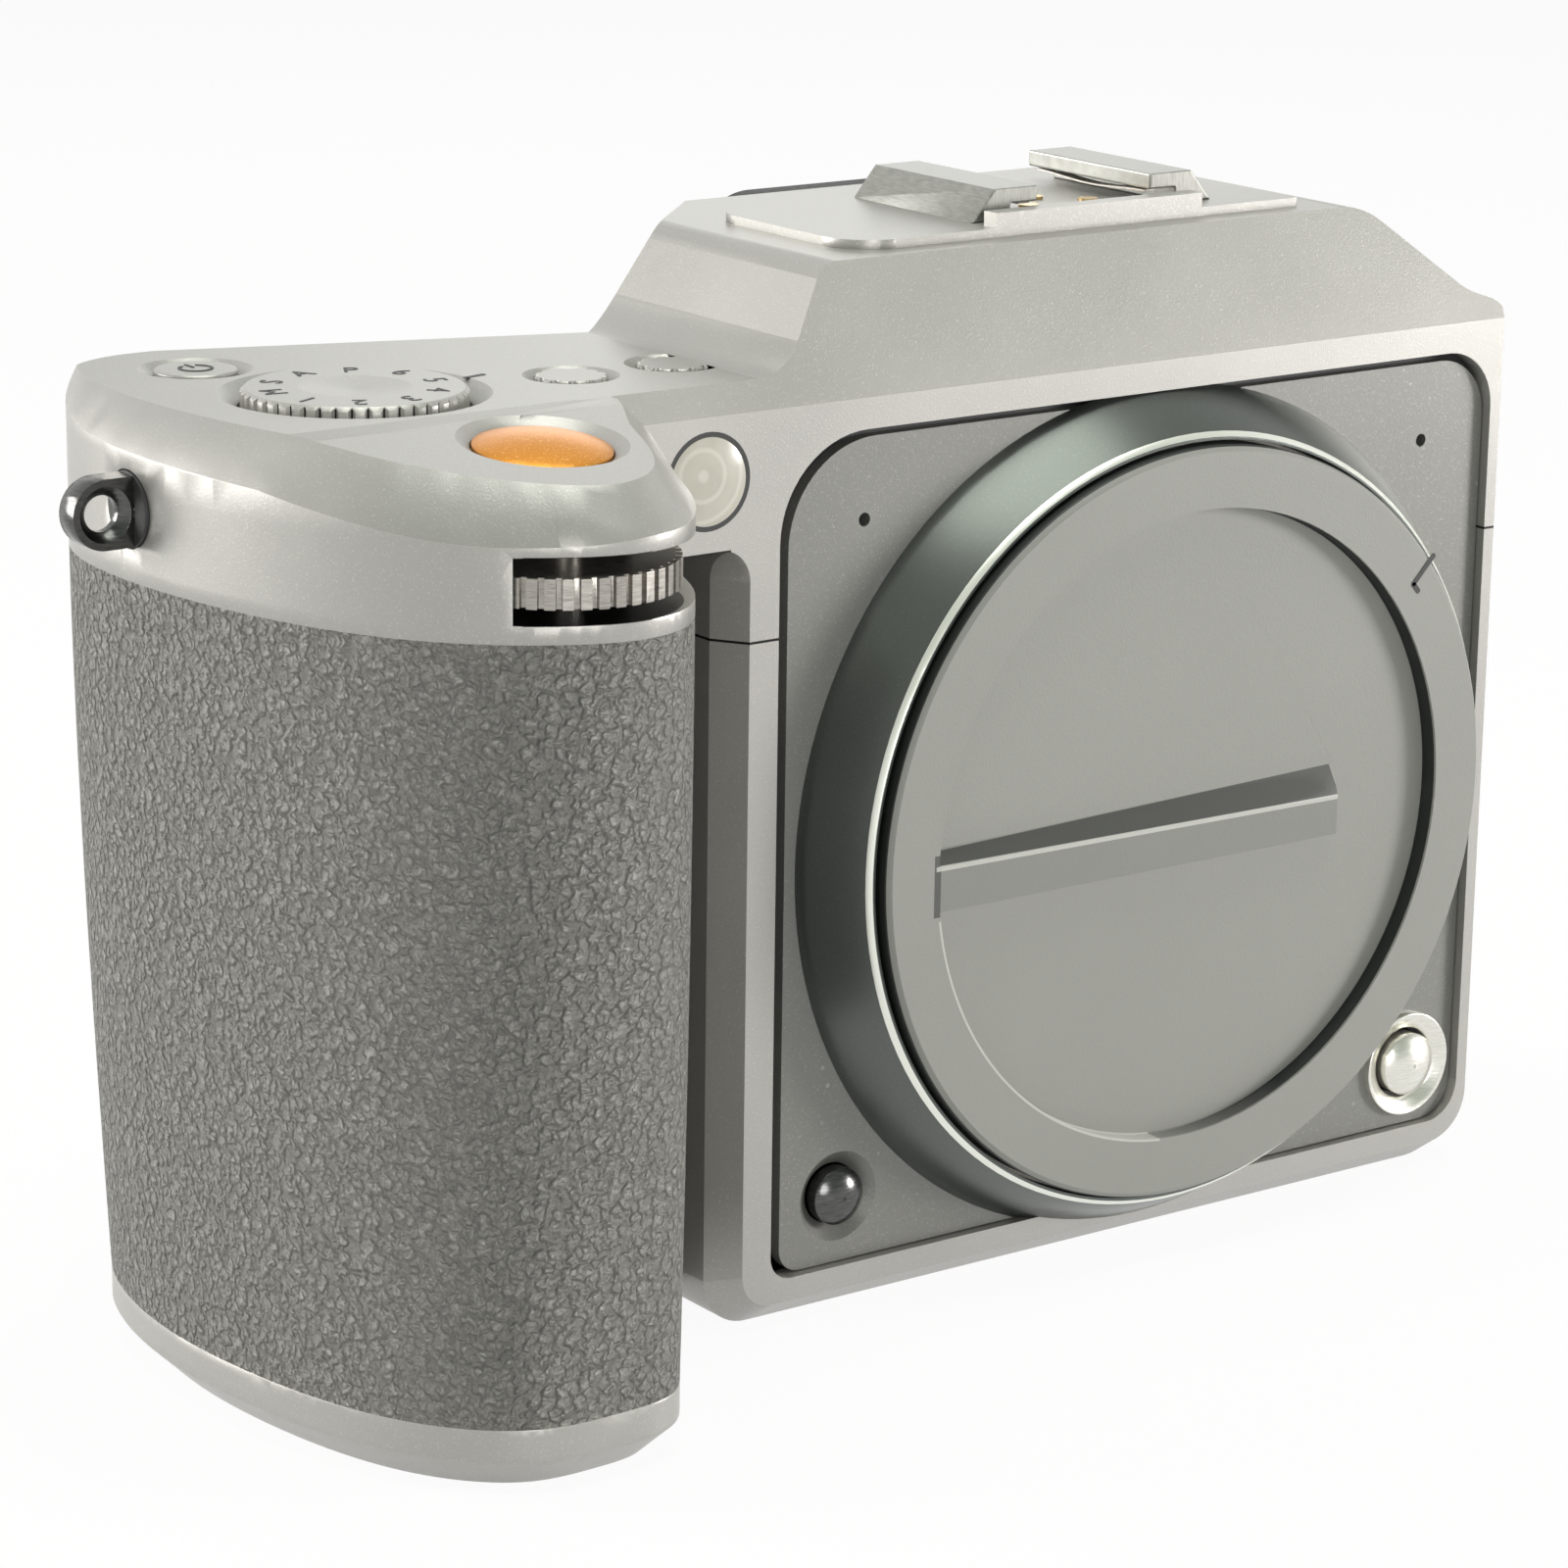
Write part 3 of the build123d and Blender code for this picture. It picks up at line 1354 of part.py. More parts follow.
def rear_cover():
    """the back of the body, with openings for the display and the buttons"""
    cover = rear_envelope()
    glass = rear_view(*display_middle(), body_depth - display_glass_thickness) * RectangleRounded(
        display_right - display_left, display_high - display_low, display_round)
    panel = rear_view(*display_middle(), body_depth - rear_wall) * RectangleRounded(
        display_right - display_left - display_thickness, display_high - display_low - display_thickness, display_round)
    cover = cover - extrude(glass, amount=overrun) - extrude(panel, amount=overrun)
    for x, z in menu_places():
        face = rear_view(x, z, body_depth - rear_wall) * RectangleRounded(
            menu_size[0] + 2 * button_gap, menu_size[1] + 2 * button_gap, menu_round + button_gap)
        cover = cover - extrude(face, amount=overrun)
    cover = cover - thumb_room()
    return cover


def display_middle():
    """the middle of the display"""
    return ((display_left + display_right) / 2, (display_low + display_high) / 2)


def display_glass():
    """the cover glass of the display"""
    face = rear_view(*display_middle(), body_depth - display_glass_thickness) * RectangleRounded(
        display_right - display_left, display_high - display_low, display_round)
    return extrude(face, amount=display_glass_thickness)


def display_panel():
    """the display behind its glass"""
    face = rear_view(*display_middle(), body_depth - display_glass_thickness - display_thickness) * Rectangle(
        display_right - display_left - display_thickness * 2, display_high - display_low - display_thickness * 2)
    return extrude(face, amount=display_thickness)


def menu_places():
    """the column of buttons beside the display"""
    return [(menu_column, height) for height in menu_heights]


def menu_button(place):
    """one rounded bar-shaped button beside the display"""
    x, z = place
    face = rear_view(x, z, body_depth + menu_proud - menu_length) * RectangleRounded(*menu_size, menu_round)
    return extrude(face, amount=menu_length)


def slope_button(place):
    """one round button on the slope behind the deck"""
    along, down = place
    button = domed_button(rear_button_radius, rear_button_height, rear_button_proud / 2)
    return rear_slope() * Pos(along, down, rear_button_proud - rear_button_height) * button


def thumb_face():
    """the thumb rest's outline seen from behind"""
    points = [(-thumb_right, thumb_low), (-thumb_left, thumb_low + thumb_rise), (-thumb_left, thumb_high - thumb_rise),
              (-thumb_right, thumb_high)]
    return outline(points, [thumb_rise * 2, thumb_rise * 2, thumb_rise * 2, thumb_rise * 2])


def thumb_room():
    """the shallow seat of the thumb rest"""
    return extrude(rear_view(depth=body_depth - thumb_seat) * thumb_face(), amount=overrun)


def thumb_rest():
    """the rubber rest for the thumb, swelling towards its inner edge"""
    pad = extrude(rear_view(depth=body_depth - thumb_seat) * thumb_face(), amount=thumb_seat + thumb_rise)
    middle = (thumb_low + thumb_high) / 2
    reach = thumb_right - thumb_left
    swell = (reach**2 + thumb_rise**2) / (2 * thumb_rise)
    drum = Pos(thumb_right, body_depth + thumb_rise - swell - socket_setback, middle) * Cylinder(swell, overrun * 4)
    return pad & drum


def eyepiece_housing():
    """the housing of the finder's eyepiece behind the hump"""
    face = RectangleRounded(eyepiece_width, eyepiece_tall, eyepiece_round)
    body = extrude(rear_view(z=eyepiece_height, depth=body_depth) * face, amount=eyepiece_reach, taper=eyepiece_taper)
    return body - tunnel() - diopter_room()


def diopter_middle():
    """the middle of the sight adjustment wheel"""
    x = eyepiece_width / 2 - diopter_radius + diopter_right
    return (x, body_depth + diopter_depth, eyepiece_height)


def diopter_room():
    """the slot of the sight adjustment wheel, with the hole of its pin"""
    x, depth, z = diopter_middle()
    low = z - diopter_thickness / 2 - wheel_room / 2
    room = extrude(top_view(x, depth, low) * Circle(diopter_radius + wheel_room / 2), amount=diopter_thickness + wheel_room)
    return room + diopter_pin()


def diopter_pin():
    """the hole for the stub axles of the sight adjustment wheel"""
    x, depth, z = diopter_middle()
    length = diopter_thickness * 2
    return extrude(top_view(x, depth, z - length / 2) * Circle(diopter_pin_radius), amount=length)


def diopter_wheel():
    """the ridged wheel that sets the eyepiece to the eye"""
    x, depth, z = diopter_middle()
    pitch = 2 * pi * diopter_radius / diopter_ridges
    body = Cylinder(diopter_radius - button_gap * 2, diopter_thickness)
    bar = Box(button_gap * 4, pitch * ridge_share, diopter_thickness, align=(Align.MAX, Align.CENTER, Align.CENTER))
    body = body.fuse(*ring_of(bar, diopter_ridges, diopter_radius))
    body = body + Cylinder(diopter_pin_radius - running_gap, diopter_thickness * 2 - sliding_gap)
    return Pos(x, depth - socket_setback, z) * body


def eyecup():
    """the soft ring round the eyepiece"""
    start = body_depth + eyepiece_reach
    outer = rear_view(z=eyepiece_height, depth=start) * RectangleRounded(eyecup_width, eyecup_tall, eyecup_round)
    inner = rear_view(z=eyepiece_height, depth=start) * RectangleRounded(
        eyecup_width - 2 * eyecup_wall[0], eyecup_tall - 2 * eyecup_wall[1], eyecup_round / 2)
    cup = extrude(outer, amount=eyecup_reach) - extrude(inner, amount=eyecup_reach)
    return fillet(cup.edges().sort_by(Axis.Y)[-8:], eyecup_tongue)


def eyepiece_lens():
    """the lens that the eye looks into"""
    face = rear_view(z=eyepiece_height, depth=body_depth + eyepiece_reach - eyecup_tongue * 2) * RectangleRounded(
        tunnel_width, tunnel_tall, eyecup_tongue)
    return extrude(face, amount=eyecup_tongue)


def write(name, shape):
    """one file for each named piece"""
    export_step(shape, "parts/" + name + ".step")


def main():
    """builds every piece and writes it"""
    os.makedirs("parts", exist_ok=True)
    pieces = {
        "top_cover": top_cover(),
        "lower_body": lower_body(),
        "rear_cover": rear_cover(),
        "grip_core": grip_core(),
        "grip_rubber": grip_rubber(),
        "grip_foot": grip_foot(),
        "battery": battery(),
        "battery_catch": battery_catch(),
        "front_plate": front_plate(),
        "mount_housing": mount_housing(),
        "lens_mount": lens_mount(),
        "contact_block": contact_block(),
        "lens_contacts": lens_contacts(),
        "light_baffle": light_baffle(),
        "chassis": chassis(),
        "sensor_module": sensor_module(),
        "sensor_glass": sensor_glass(),
        "main_board": main_board(),
        "stop_down_button": stop_down_button(),
        "release_button": release_button(),
        "release_bezel": release_bezel(),
        "lock_pin": lock_pin(),
        "lamp_lens": lamp_lens(),
        "lamp_bezel": lamp_bezel(),
        "body_cap": body_cap(),
        "shoe_slab": shoe_slab(),
        "shoe_rails": shoe_rails(),
        "shoe_contacts": shoe_contacts(),
        "shutter_button": shutter_button(),
        "mode_dial": mode_dial(),
        "dial_post": dial_post(),
        "power_button": small_button(power_place, power_radius),
        "focus_button": small_button(small_places[0], small_radius, notched=True),
        "speed_button": small_button(small_places[1], small_radius, notched=True),
        "front_wheel": setting_wheel(0, front_wheel_radius, wheel_ridges),
        "rear_wheel": setting_wheel(1, rear_wheel_radius, rear_wheel_ridges),
        "wheel_axles": wheel_axles(),
        "strap_lugs": lugs(),
        "lug_collars": lug_collars(),
        "display_glass": display_glass(),
        "display_panel": display_panel(),
        "thumb_rest": thumb_rest(),
        "lock_button": slope_button(slope_buttons[0]),
        "drive_button": slope_button(slope_buttons[1]),
        "eyepiece_housing": eyepiece_housing(),
        "eyecup": eyecup(),
        "eyepiece_lens": eyepiece_lens(),
        "diopter_wheel": diopter_wheel(),
        "ports_door": side_door(ports_low, ports_high),
        "cards_door": side_door(cards_low, cards_high),
        "door_pins": hinge_pins(),
        "card_slots": card_slots(),
        "port_sockets": ports(),
        "tripod_socket": tripod_socket(),
        "screws": screws(),
    }
    for index, place in enumerate(menu_places()):
        pieces["menu_button_" + str(index + 1)] = menu_button(place)
    for name, shape in pieces.items():
        write(name, shape)
    print(len(pieces), "pieces written")


main()
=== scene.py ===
import bpy, bmesh
from math import atan2, cos, pi, radians
from mathutils import Matrix, Vector


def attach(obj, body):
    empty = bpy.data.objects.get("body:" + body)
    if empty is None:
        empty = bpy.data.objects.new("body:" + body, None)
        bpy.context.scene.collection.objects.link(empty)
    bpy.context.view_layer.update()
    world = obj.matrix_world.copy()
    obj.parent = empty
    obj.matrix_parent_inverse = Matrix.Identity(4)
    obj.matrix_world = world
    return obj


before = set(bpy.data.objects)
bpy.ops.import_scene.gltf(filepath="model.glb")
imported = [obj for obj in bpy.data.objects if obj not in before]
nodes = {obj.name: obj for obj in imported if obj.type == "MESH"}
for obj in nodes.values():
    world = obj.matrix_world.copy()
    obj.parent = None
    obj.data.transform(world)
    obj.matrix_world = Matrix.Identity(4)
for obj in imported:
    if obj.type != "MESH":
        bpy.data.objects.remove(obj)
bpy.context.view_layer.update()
mm = 0.001
bodyName = "camera_body"
faceDepth = 20.0


def place(x, depth, z):
    # millimetres across, back from the frame's face, and up, as a point in metres
    return Vector((x * mm, (depth - faceDepth) * mm, z * mm))


# camera at the photograph's viewpoint
shot = {"at": (-0.28444, -0.35481, 0.16209), "yaw": -0.62911, "pitch": -0.26917, "roll": 0.01359,
        "focal": 5183.39, "middle": (797.66, 814.44), "frame": 1600.0, "sensor": 36.0, "clip": (0.01, 20.0)}


def makeCamera():
    data = bpy.data.cameras.new("camera")
    data.sensor_width = shot["sensor"]
    data.lens = shot["focal"] / shot["frame"] * data.sensor_width
    data.shift_x = (shot["frame"] / 2 - shot["middle"][0]) / shot["frame"]
    data.shift_y = (shot["middle"][1] - shot["frame"] / 2) / shot["frame"]
    data.clip_start, data.clip_end = shot["clip"]
    camera = bpy.data.objects.new("camera", data)
    turn = Matrix.Rotation(shot["yaw"], 4, "Z") @ Matrix.Rotation(pi / 2 + shot["pitch"], 4, "X")
    camera.matrix_world = Matrix.Translation(shot["at"]) @ turn @ Matrix.Rotation(shot["roll"], 4, "Z")
    bpy.context.scene.collection.objects.link(camera)
    bpy.context.scene.camera = camera


makeCamera()
print("camera placed")


# node helpers
def feed(tree, node, values):
    for key, value in values.items():
        if isinstance(value, bpy.types.NodeSocket):
            tree.links.new(value, node.inputs[key])
        else:
            node.inputs[key].default_value = value


def addNode(tree, kind, inputs=None, **settings):
    node = tree.nodes.new(kind)
    for key, value in settings.items():
        setattr(node, key, value)
    feed(tree, node, inputs or {})
    return node


def maths(tree, operation, *values):
    return addNode(tree, "ShaderNodeMath", dict(enumerate(values)), operation=operation).outputs[0]


def vectorMaths(tree, operation, first, second):
    node = addNode(tree, "ShaderNodeVectorMath", {0: first, 1: second}, operation=operation)
    return node.outputs["Value" if operation in ("DISTANCE", "DOT_PRODUCT") else "Vector"]


def remap(tree, value, start=(0.0, 1.0), to=(0.0, 1.0), kind="LINEAR"):
    ends = {"From Min": start[0], "From Max": start[1], "To Min": to[0], "To Max": to[1]}
    return addNode(tree, "ShaderNodeMapRange", {"Value": value, **ends}, interpolation_type=kind).outputs[0]


def noise(tree, vector, scale, detail, roughness=0.5, distortion=0.0):
    return addNode(tree, "ShaderNodeTexNoise", {"Vector": vector, "Scale": scale, "Detail": detail,
                                                "Roughness": roughness, "Distortion": distortion})


def between(tree, value, low, high):
    above = maths(tree, "GREATER_THAN", value, low)
    below = maths(tree, "LESS_THAN", value, high)
    return maths(tree, "MULTIPLY", above, below)


def splitAxes(tree, coords):
    return addNode(tree, "ShaderNodeSeparateXYZ", {0: coords}).outputs


def flatReach(tree, coords, middle, kept):
    # the distance from a point, along the two kept axes only
    axes = splitAxes(tree, coords)
    flat = addNode(tree, "ShaderNodeCombineXYZ", {axis: axes[axis] for axis in kept})
    return vectorMaths(tree, "DISTANCE", flat.outputs[0], tuple(middle))


# sockets of the colour mix
mixSockets = {"share": 0, "first": 6, "second": 7, "result": 2}


def mixColours(tree, share, first, second):
    node = tree.nodes.new("ShaderNodeMix")
    node.data_type = "RGBA"
    tree.links.new(share, node.inputs[mixSockets["share"]])
    for key, value in (("first", first), ("second", second)):
        colour = value if isinstance(value, bpy.types.NodeSocket) else (*value, 1)
        feed(tree, node, {mixSockets[key]: colour})
    return node.outputs[mixSockets["result"]]


def newMaterial(name):
    material = bpy.data.materials.new(name)
    material.use_nodes = True
    tree = material.node_tree
    tree.nodes.clear()
    output = tree.nodes.new("ShaderNodeOutputMaterial")
    shader = tree.nodes.new("ShaderNodeBsdfPrincipled")
    tree.links.new(shader.outputs[0], output.inputs[0])
    coords = tree.nodes.new("ShaderNodeTexCoord")
    return material, tree, shader, coords.outputs["Object"]


def addBump(tree, shader, height, strength, distance):
    bump = addNode(tree, "ShaderNodeBump", {"Height": height, "Strength": strength, "Distance": distance})
    tree.links.new(bump.outputs[0], shader.inputs["Normal"])


def newGroup(name, values, results):
    # a group that takes a vector and plain values
    group = bpy.data.node_groups.new(name, "ShaderNodeTree")
    group.interface.new_socket(name="Vector", in_out="INPUT", socket_type="NodeSocketVector")
    for label in values:
        group.interface.new_socket(name=label, in_out="INPUT", socket_type="NodeSocketFloat")
    for label in results:
        group.interface.new_socket(name=label, in_out="OUTPUT", socket_type="NodeSocketFloat")
    return group, group.nodes.new("NodeGroupInput").outputs, group.nodes.new("NodeGroupOutput")


def useGroup(tree, group, vector, **values):
    node = tree.nodes.new("ShaderNodeGroup")
    node.node_tree = group
    tree.links.new(vector, node.inputs["Vector"])
    feed(tree, node, {key.replace("_", " "): value for key, value in values.items()})
    return node


# fine bead blasting, with a slow change of tone and small sparkles
blasting = {"detail": 3.0, "roughness": 0.6, "slowDetail": 4.0, "slowRoughness": 0.55,
            "sparkle": (0.58, 0.74)}


def makeBlastedGrain():
    group, start, end = newGroup("blastedGrain", ["Scale", "Slow Scale"], ["Height", "Sparkle", "Tone"])
    fine = noise(group, start["Vector"], start["Scale"], blasting["detail"], blasting["roughness"])
    slow = noise(group, start["Vector"], start["Slow Scale"], blasting["slowDetail"],
                 blasting["slowRoughness"])
    sparkle = remap(group, fine.outputs[0], blasting["sparkle"])
    feed(group, end, {"Height": fine.outputs[0], "Sparkle": sparkle, "Tone": slow.outputs[0]})
    return group


# wrinkled rubber: soft rounded cells pulled about by noise, with folds on top
pebbling = {"warpDetail": 1.0, "centre": -0.5, "warp": 1.2 * mm, "smoothness": 0.55, "raised": (0.75, 0.1),
            "foldDetail": 4.0, "foldRoughness": 0.6, "foldShare": 1.2, "valley": (0.55, 1.35)}


def makePebble():
    group, start, end = newGroup("pebbledRubber", ["Scale", "Stretch"], ["Height", "Valley"])
    warp = noise(group, start["Vector"], start["Scale"], pebbling["warpDetail"])
    centred = vectorMaths(group, "ADD", warp.outputs["Color"], (pebbling["centre"],) * 3)
    offset = vectorMaths(group, "MULTIPLY", centred, (pebbling["warp"],) * 3)
    moved = vectorMaths(group, "ADD", start["Vector"], offset)
    spread = {"Vector": moved, "Scale": start["Scale"], "Smoothness": pebbling["smoothness"]}
    cells = addNode(group, "ShaderNodeTexVoronoi", spread, feature="SMOOTH_F1")
    raised = remap(group, cells.outputs["Distance"], pebbling["raised"], kind="SMOOTHSTEP")
    folds = noise(group, moved, start["Scale"], pebbling["foldDetail"], pebbling["foldRoughness"],
                  start["Stretch"])
    height = maths(group, "MULTIPLY_ADD", folds.outputs[0], pebbling["foldShare"], raised)
    feed(group, end, {"Height": height, "Valley": remap(group, height, pebbling["valley"])})
    return group


# scattered pale specks, in patches
speckling = {"patchScale": 60.0, "patchDetail": 2.0, "patch": (0.5, 0.62)}


def makeDust():
    group, start, end = newGroup("dustSpecks", ["Scale", "Size"], ["Mask"])
    cells = addNode(group, "ShaderNodeTexVoronoi", {"Vector": start["Vector"], "Scale": start["Scale"]})
    patch = noise(group, start["Vector"], speckling["patchScale"], speckling["patchDetail"])
    speck = maths(group, "LESS_THAN", cells.outputs["Distance"], start["Size"])
    where = remap(group, patch.outputs[0], speckling["patch"])
    feed(group, end, {"Mask": maths(group, "MULTIPLY", speck, where)})
    return group


blastedGrain, pebble, dust = makeBlastedGrain(), makePebble(), makeDust()

# satin metal; two optional mask makers: one paints near-black painted shade into hollows and darkens joints,
# the other gives bare polished edges
satin = {"slow": 28.0, "tone": (0.3, 0.7), "dustScale": 420.0, "painted": (0.006, 0.006, 0.006),
         "bare": (0.82, 0.83, 0.76), "smoother": 0.05, "rougher": 0.06, "depth": 0.04 * mm}


def blastedMetal(name, look, painted=None, bare=None):
    material, tree, shader, coords = newMaterial(name)
    grain = useGroup(tree, blastedGrain, coords, Scale=look["grain"], Slow_Scale=satin["slow"])
    tone = remap(tree, grain.outputs["Tone"], satin["tone"])
    colour = mixColours(tree, tone, look["low"], look["high"])
    bright = tuple(min(1.0, channel * look["sparkle"]) for channel in look["high"])
    colour = mixColours(tree, grain.outputs["Sparkle"], colour, bright)
    specks = useGroup(tree, dust, coords, Scale=satin["dustScale"], Size=look["dust"])
    colour = mixColours(tree, specks.outputs[0], colour, bright)
    # near-black painted shade in hollows, and dark joints
    if painted:
        colour = mixColours(tree, painted(tree, coords), colour, satin["painted"])
    if bare:
        colour = mixColours(tree, bare(tree, coords), colour, satin["bare"])
    span = (look["rough"] - satin["smoother"], look["rough"] + satin["rougher"])
    rough = remap(tree, grain.outputs["Tone"], to=span)
    feed(tree, shader, {"Base Color": colour, "Roughness": rough, "Metallic": look["metallic"]})
    addBump(tree, shader, grain.outputs["Height"], look["bump"], satin["depth"])
    return material


# polished or turned metal with fine lines across one axis
turning = {"coarse": 900.0, "fine": 9000.0, "scale": 1.0, "detail": 3.0, "tone": (0.3, 0.7),
           "rough": (0.7, 1.4), "depth": 0.03 * mm}


def turnedMetal(name, look, axis=2):
    material, tree, shader, coords = newMaterial(name)
    scale = [turning["coarse"]] * 3
    scale[axis] = turning["fine"]
    stretch = addNode(tree, "ShaderNodeMapping", {"Vector": coords, "Scale": tuple(scale)})
    lines = noise(tree, stretch.outputs[0], turning["scale"], turning["detail"]).outputs[0]
    colour = mixColours(tree, remap(tree, lines, turning["tone"]), look["low"], look["high"])
    rough = remap(tree, lines, to=[look["rough"] * share for share in turning["rough"]])
    feed(tree, shader, {"Base Color": colour, "Roughness": rough, "Metallic": look["metallic"]})
    addBump(tree, shader, lines, look["bump"], turning["depth"])
    return material


# roughness in the rubber's valleys; its ridges have their own
valleyRough = 0.75


def rubberSkin(name, look):
    material, tree, shader, coords = newMaterial(name)
    skin = useGroup(tree, pebble, coords, Scale=look["scale"], Stretch=look["stretch"])
    # the valleys are painted darker than the ridges: painted shade in the creases
    colour = mixColours(tree, skin.outputs["Valley"], look["low"], look["high"])
    rough = remap(tree, skin.outputs["Valley"], to=(valleyRough, look["rough"]))
    feed(tree, shader, {"Base Color": colour, "Roughness": rough})
    addBump(tree, shader, skin.outputs["Height"], look["bump"], look["depth"])
    return material


# moulded plastic; the three optional mask makers paint deep shade near black, paint lighter shade, and paint
# highlights
moulding = {"slow": 40.0, "painted": (0.007, 0.009, 0.008), "shaded": (0.06, 0.061, 0.056),
            "shining": (0.50, 0.50, 0.47), "smoother": 0.06, "rougher": 0.08, "depth": 0.06 * mm}


def mouldedPlastic(name, look, **masks):
    material, tree, shader, coords = newMaterial(name)
    grain = useGroup(tree, blastedGrain, coords, Scale=look["grain"], Slow_Scale=moulding["slow"])
    colour = mixColours(tree, grain.outputs["Tone"], look["low"], look["high"])
    for tint, mask in masks.items():
        colour = mixColours(tree, mask(tree, coords), colour, moulding[tint])
    span = (look["rough"] - moulding["smoother"], look["rough"] + moulding["rougher"])
    rough = remap(tree, grain.outputs["Height"], to=span)
    feed(tree, shader, {"Base Color": colour, "Roughness": rough})
    addBump(tree, shader, grain.outputs["Height"], look["bump"], moulding["depth"])
    return material


# dark glass with a faint cloud and a clear coat
glazing = {"scale": 90.0, "detail": 2.0, "rough": (0.6, 1.5)}


def coatedGlass(name, look):
    material, tree, shader, coords = newMaterial(name)
    cloud = noise(tree, coords, glazing["scale"], glazing["detail"]).outputs[0]
    colour = mixColours(tree, cloud, look["low"], look["high"])
    rough = remap(tree, cloud, to=[look["rough"] * share for share in glazing["rough"]])
    feed(tree, shader, {"Base Color": colour, "Roughness": rough, "Metallic": look["metallic"],
                        "Coat Weight": look["coat"]})
    return material


# colour masks, in each node's own coordinates
mount = place(0, faceDepth, 40.5)


def mountReach(tree, coords):
    return flatReach(tree, coords, mount, "XZ")


# painted shade: the cap's skirt and the wall of its recess are painted nearly black, the wall more so
# towards the right
capEdge = {"front": place(0, -6.15, 0).y, "skirt": 34.08 * mm, "wall": (28.55 * mm, 28.9 * mm),
           "wallSide": (-6.0 * mm, 12.0 * mm)}


def capShadeMask(tree, coords):
    axes = splitAxes(tree, coords)
    reach = mountReach(tree, coords)
    skirt = maths(tree, "GREATER_THAN", reach, capEdge["skirt"])
    wall = between(tree, reach, *capEdge["wall"])
    wall = maths(tree, "MULTIPLY", wall, remap(tree, axes["X"], capEdge["wallSide"]))
    both = maths(tree, "MAXIMUM", skirt, wall)
    return maths(tree, "MULTIPLY", both, maths(tree, "GREATER_THAN", axes["Y"], capEdge["front"]))


# the polished chamfer at the mount housing's front edge
ringEdge = {"radius": (34.78 * mm, 35.32 * mm), "front": place(0, -4.6, 0).y}


def ringMask(tree, coords):
    back = splitAxes(tree, coords)["Y"]
    edge = between(tree, mountReach(tree, coords), *ringEdge["radius"])
    return maths(tree, "MULTIPLY", edge, maths(tree, "LESS_THAN", back, ringEdge["front"]))


# painted shade: the wheel's slot is painted black inside
slotHollow = {"middle": place(-71.5, -12.6, 0), "radius": 9.6 * mm, "level": (71.45 * mm, 76.85 * mm)}


def slotShadeMask(tree, coords):
    up = splitAxes(tree, coords)["Z"]
    reach = flatReach(tree, coords, slotHollow["middle"], "XY")
    near = maths(tree, "LESS_THAN", reach, slotHollow["radius"])
    return maths(tree, "MULTIPLY", between(tree, up, *slotHollow["level"]), near)


# the fine joint between the upper and lower shells
seam = {"height": 61.75 * mm, "half": 0.11 * mm}


def seamMask(tree, coords):
    up = splitAxes(tree, coords)["Z"]
    gap = maths(tree, "ABSOLUTE", maths(tree, "SUBTRACT", up, seam["height"]))
    return maths(tree, "LESS_THAN", gap, seam["half"])


# the deck's tint: painted shade in the wheel's slot, and the dark joint between the shells
def deckShadeAndSeamMask(tree, coords):
    return maths(tree, "MAXIMUM", slotShadeMask(tree, coords), seamMask(tree, coords))


# the cap's finger bar, painted shade: its upper slope, its foot and its left end are painted dark, its face
# a little darker; heights are in millimetres from the mount's middle, and pairs of them run from the left
# end to the right
barShade = {"across": (-29.0 * mm, 16.9 * mm), "low": (0.8, 0.4), "high": (1.9, 3.1), "edge": 0.12,
            "foot": (-3.6, -3.15), "end": (-29.2 * mm, -28.5 * mm), "face": 0.3}


def barLine(tree, across, ends):
    # a height that runs evenly from the bar's left end to its right
    return remap(tree, across, barShade["across"], [mount.z + end * mm for end in ends])


def barMask(tree, coords):
    axes = splitAxes(tree, coords)
    across, up = axes["X"], axes["Z"]
    low = barLine(tree, across, [end + barShade["edge"] for end in barShade["low"]])
    high = barLine(tree, across, [end - barShade["edge"] for end in barShade["high"]])
    footLow, footHigh = (mount.z + height * mm for height in barShade["foot"])
    slope = between(tree, up, low, high)
    foot = between(tree, up, footLow, footHigh)
    face = maths(tree, "MULTIPLY", between(tree, up, footHigh, low), barShade["face"])
    long = maths(tree, "MAXIMUM", slope, maths(tree, "MAXIMUM", foot, face))
    long = maths(tree, "MULTIPLY", long, between(tree, across, *barShade["across"]))
    tall = between(tree, up, footLow, mount.z + barShade["high"][0] * mm)
    end = maths(tree, "MULTIPLY", tall, between(tree, across, *barShade["end"]))
    return maths(tree, "MAXIMUM", long, end)


# the bar's upper front edge and the lower left of the recess wall catch the light
barShine = {"edge": (-0.3, 0.12), "wallAcross": (-40.0 * mm, -3.0 * mm), "wallUp": (0.0, mount.z - 4.0 * mm),
            "share": 0.7}


def shineMask(tree, coords):
    axes = splitAxes(tree, coords)
    across, up = axes["X"], axes["Z"]
    low, high = (barLine(tree, across, [end + rise for end in barShade["low"]]) for rise in barShine["edge"])
    edge = between(tree, up, low, high)
    edge = maths(tree, "MULTIPLY", edge, between(tree, across, *barShade["across"]))
    wall = between(tree, mountReach(tree, coords), *capEdge["wall"])
    wall = maths(tree, "MULTIPLY", wall, between(tree, across, *barShine["wallAcross"]))
    wall = maths(tree, "MULTIPLY", wall, between(tree, up, *barShine["wallUp"]))
    return maths(tree, "MULTIPLY", maths(tree, "MAXIMUM", edge, wall), barShine["share"])


# painted shade: the hollows between the mode dial's teeth are painted near black
dialAt = (-74.2, 13.6)
toothRing = {"middle": place(*dialAt, 0), "radius": (8.2 * mm, 9.05 * mm), "top": 84.2 * mm}


def toothShadeMask(tree, coords):
    up = splitAxes(tree, coords)["Z"]
    ring = between(tree, flatReach(tree, coords, toothRing["middle"], "XY"), *toothRing["radius"])
    return maths(tree, "MULTIPLY", ring, maths(tree, "LESS_THAN", up, toothRing["top"]))


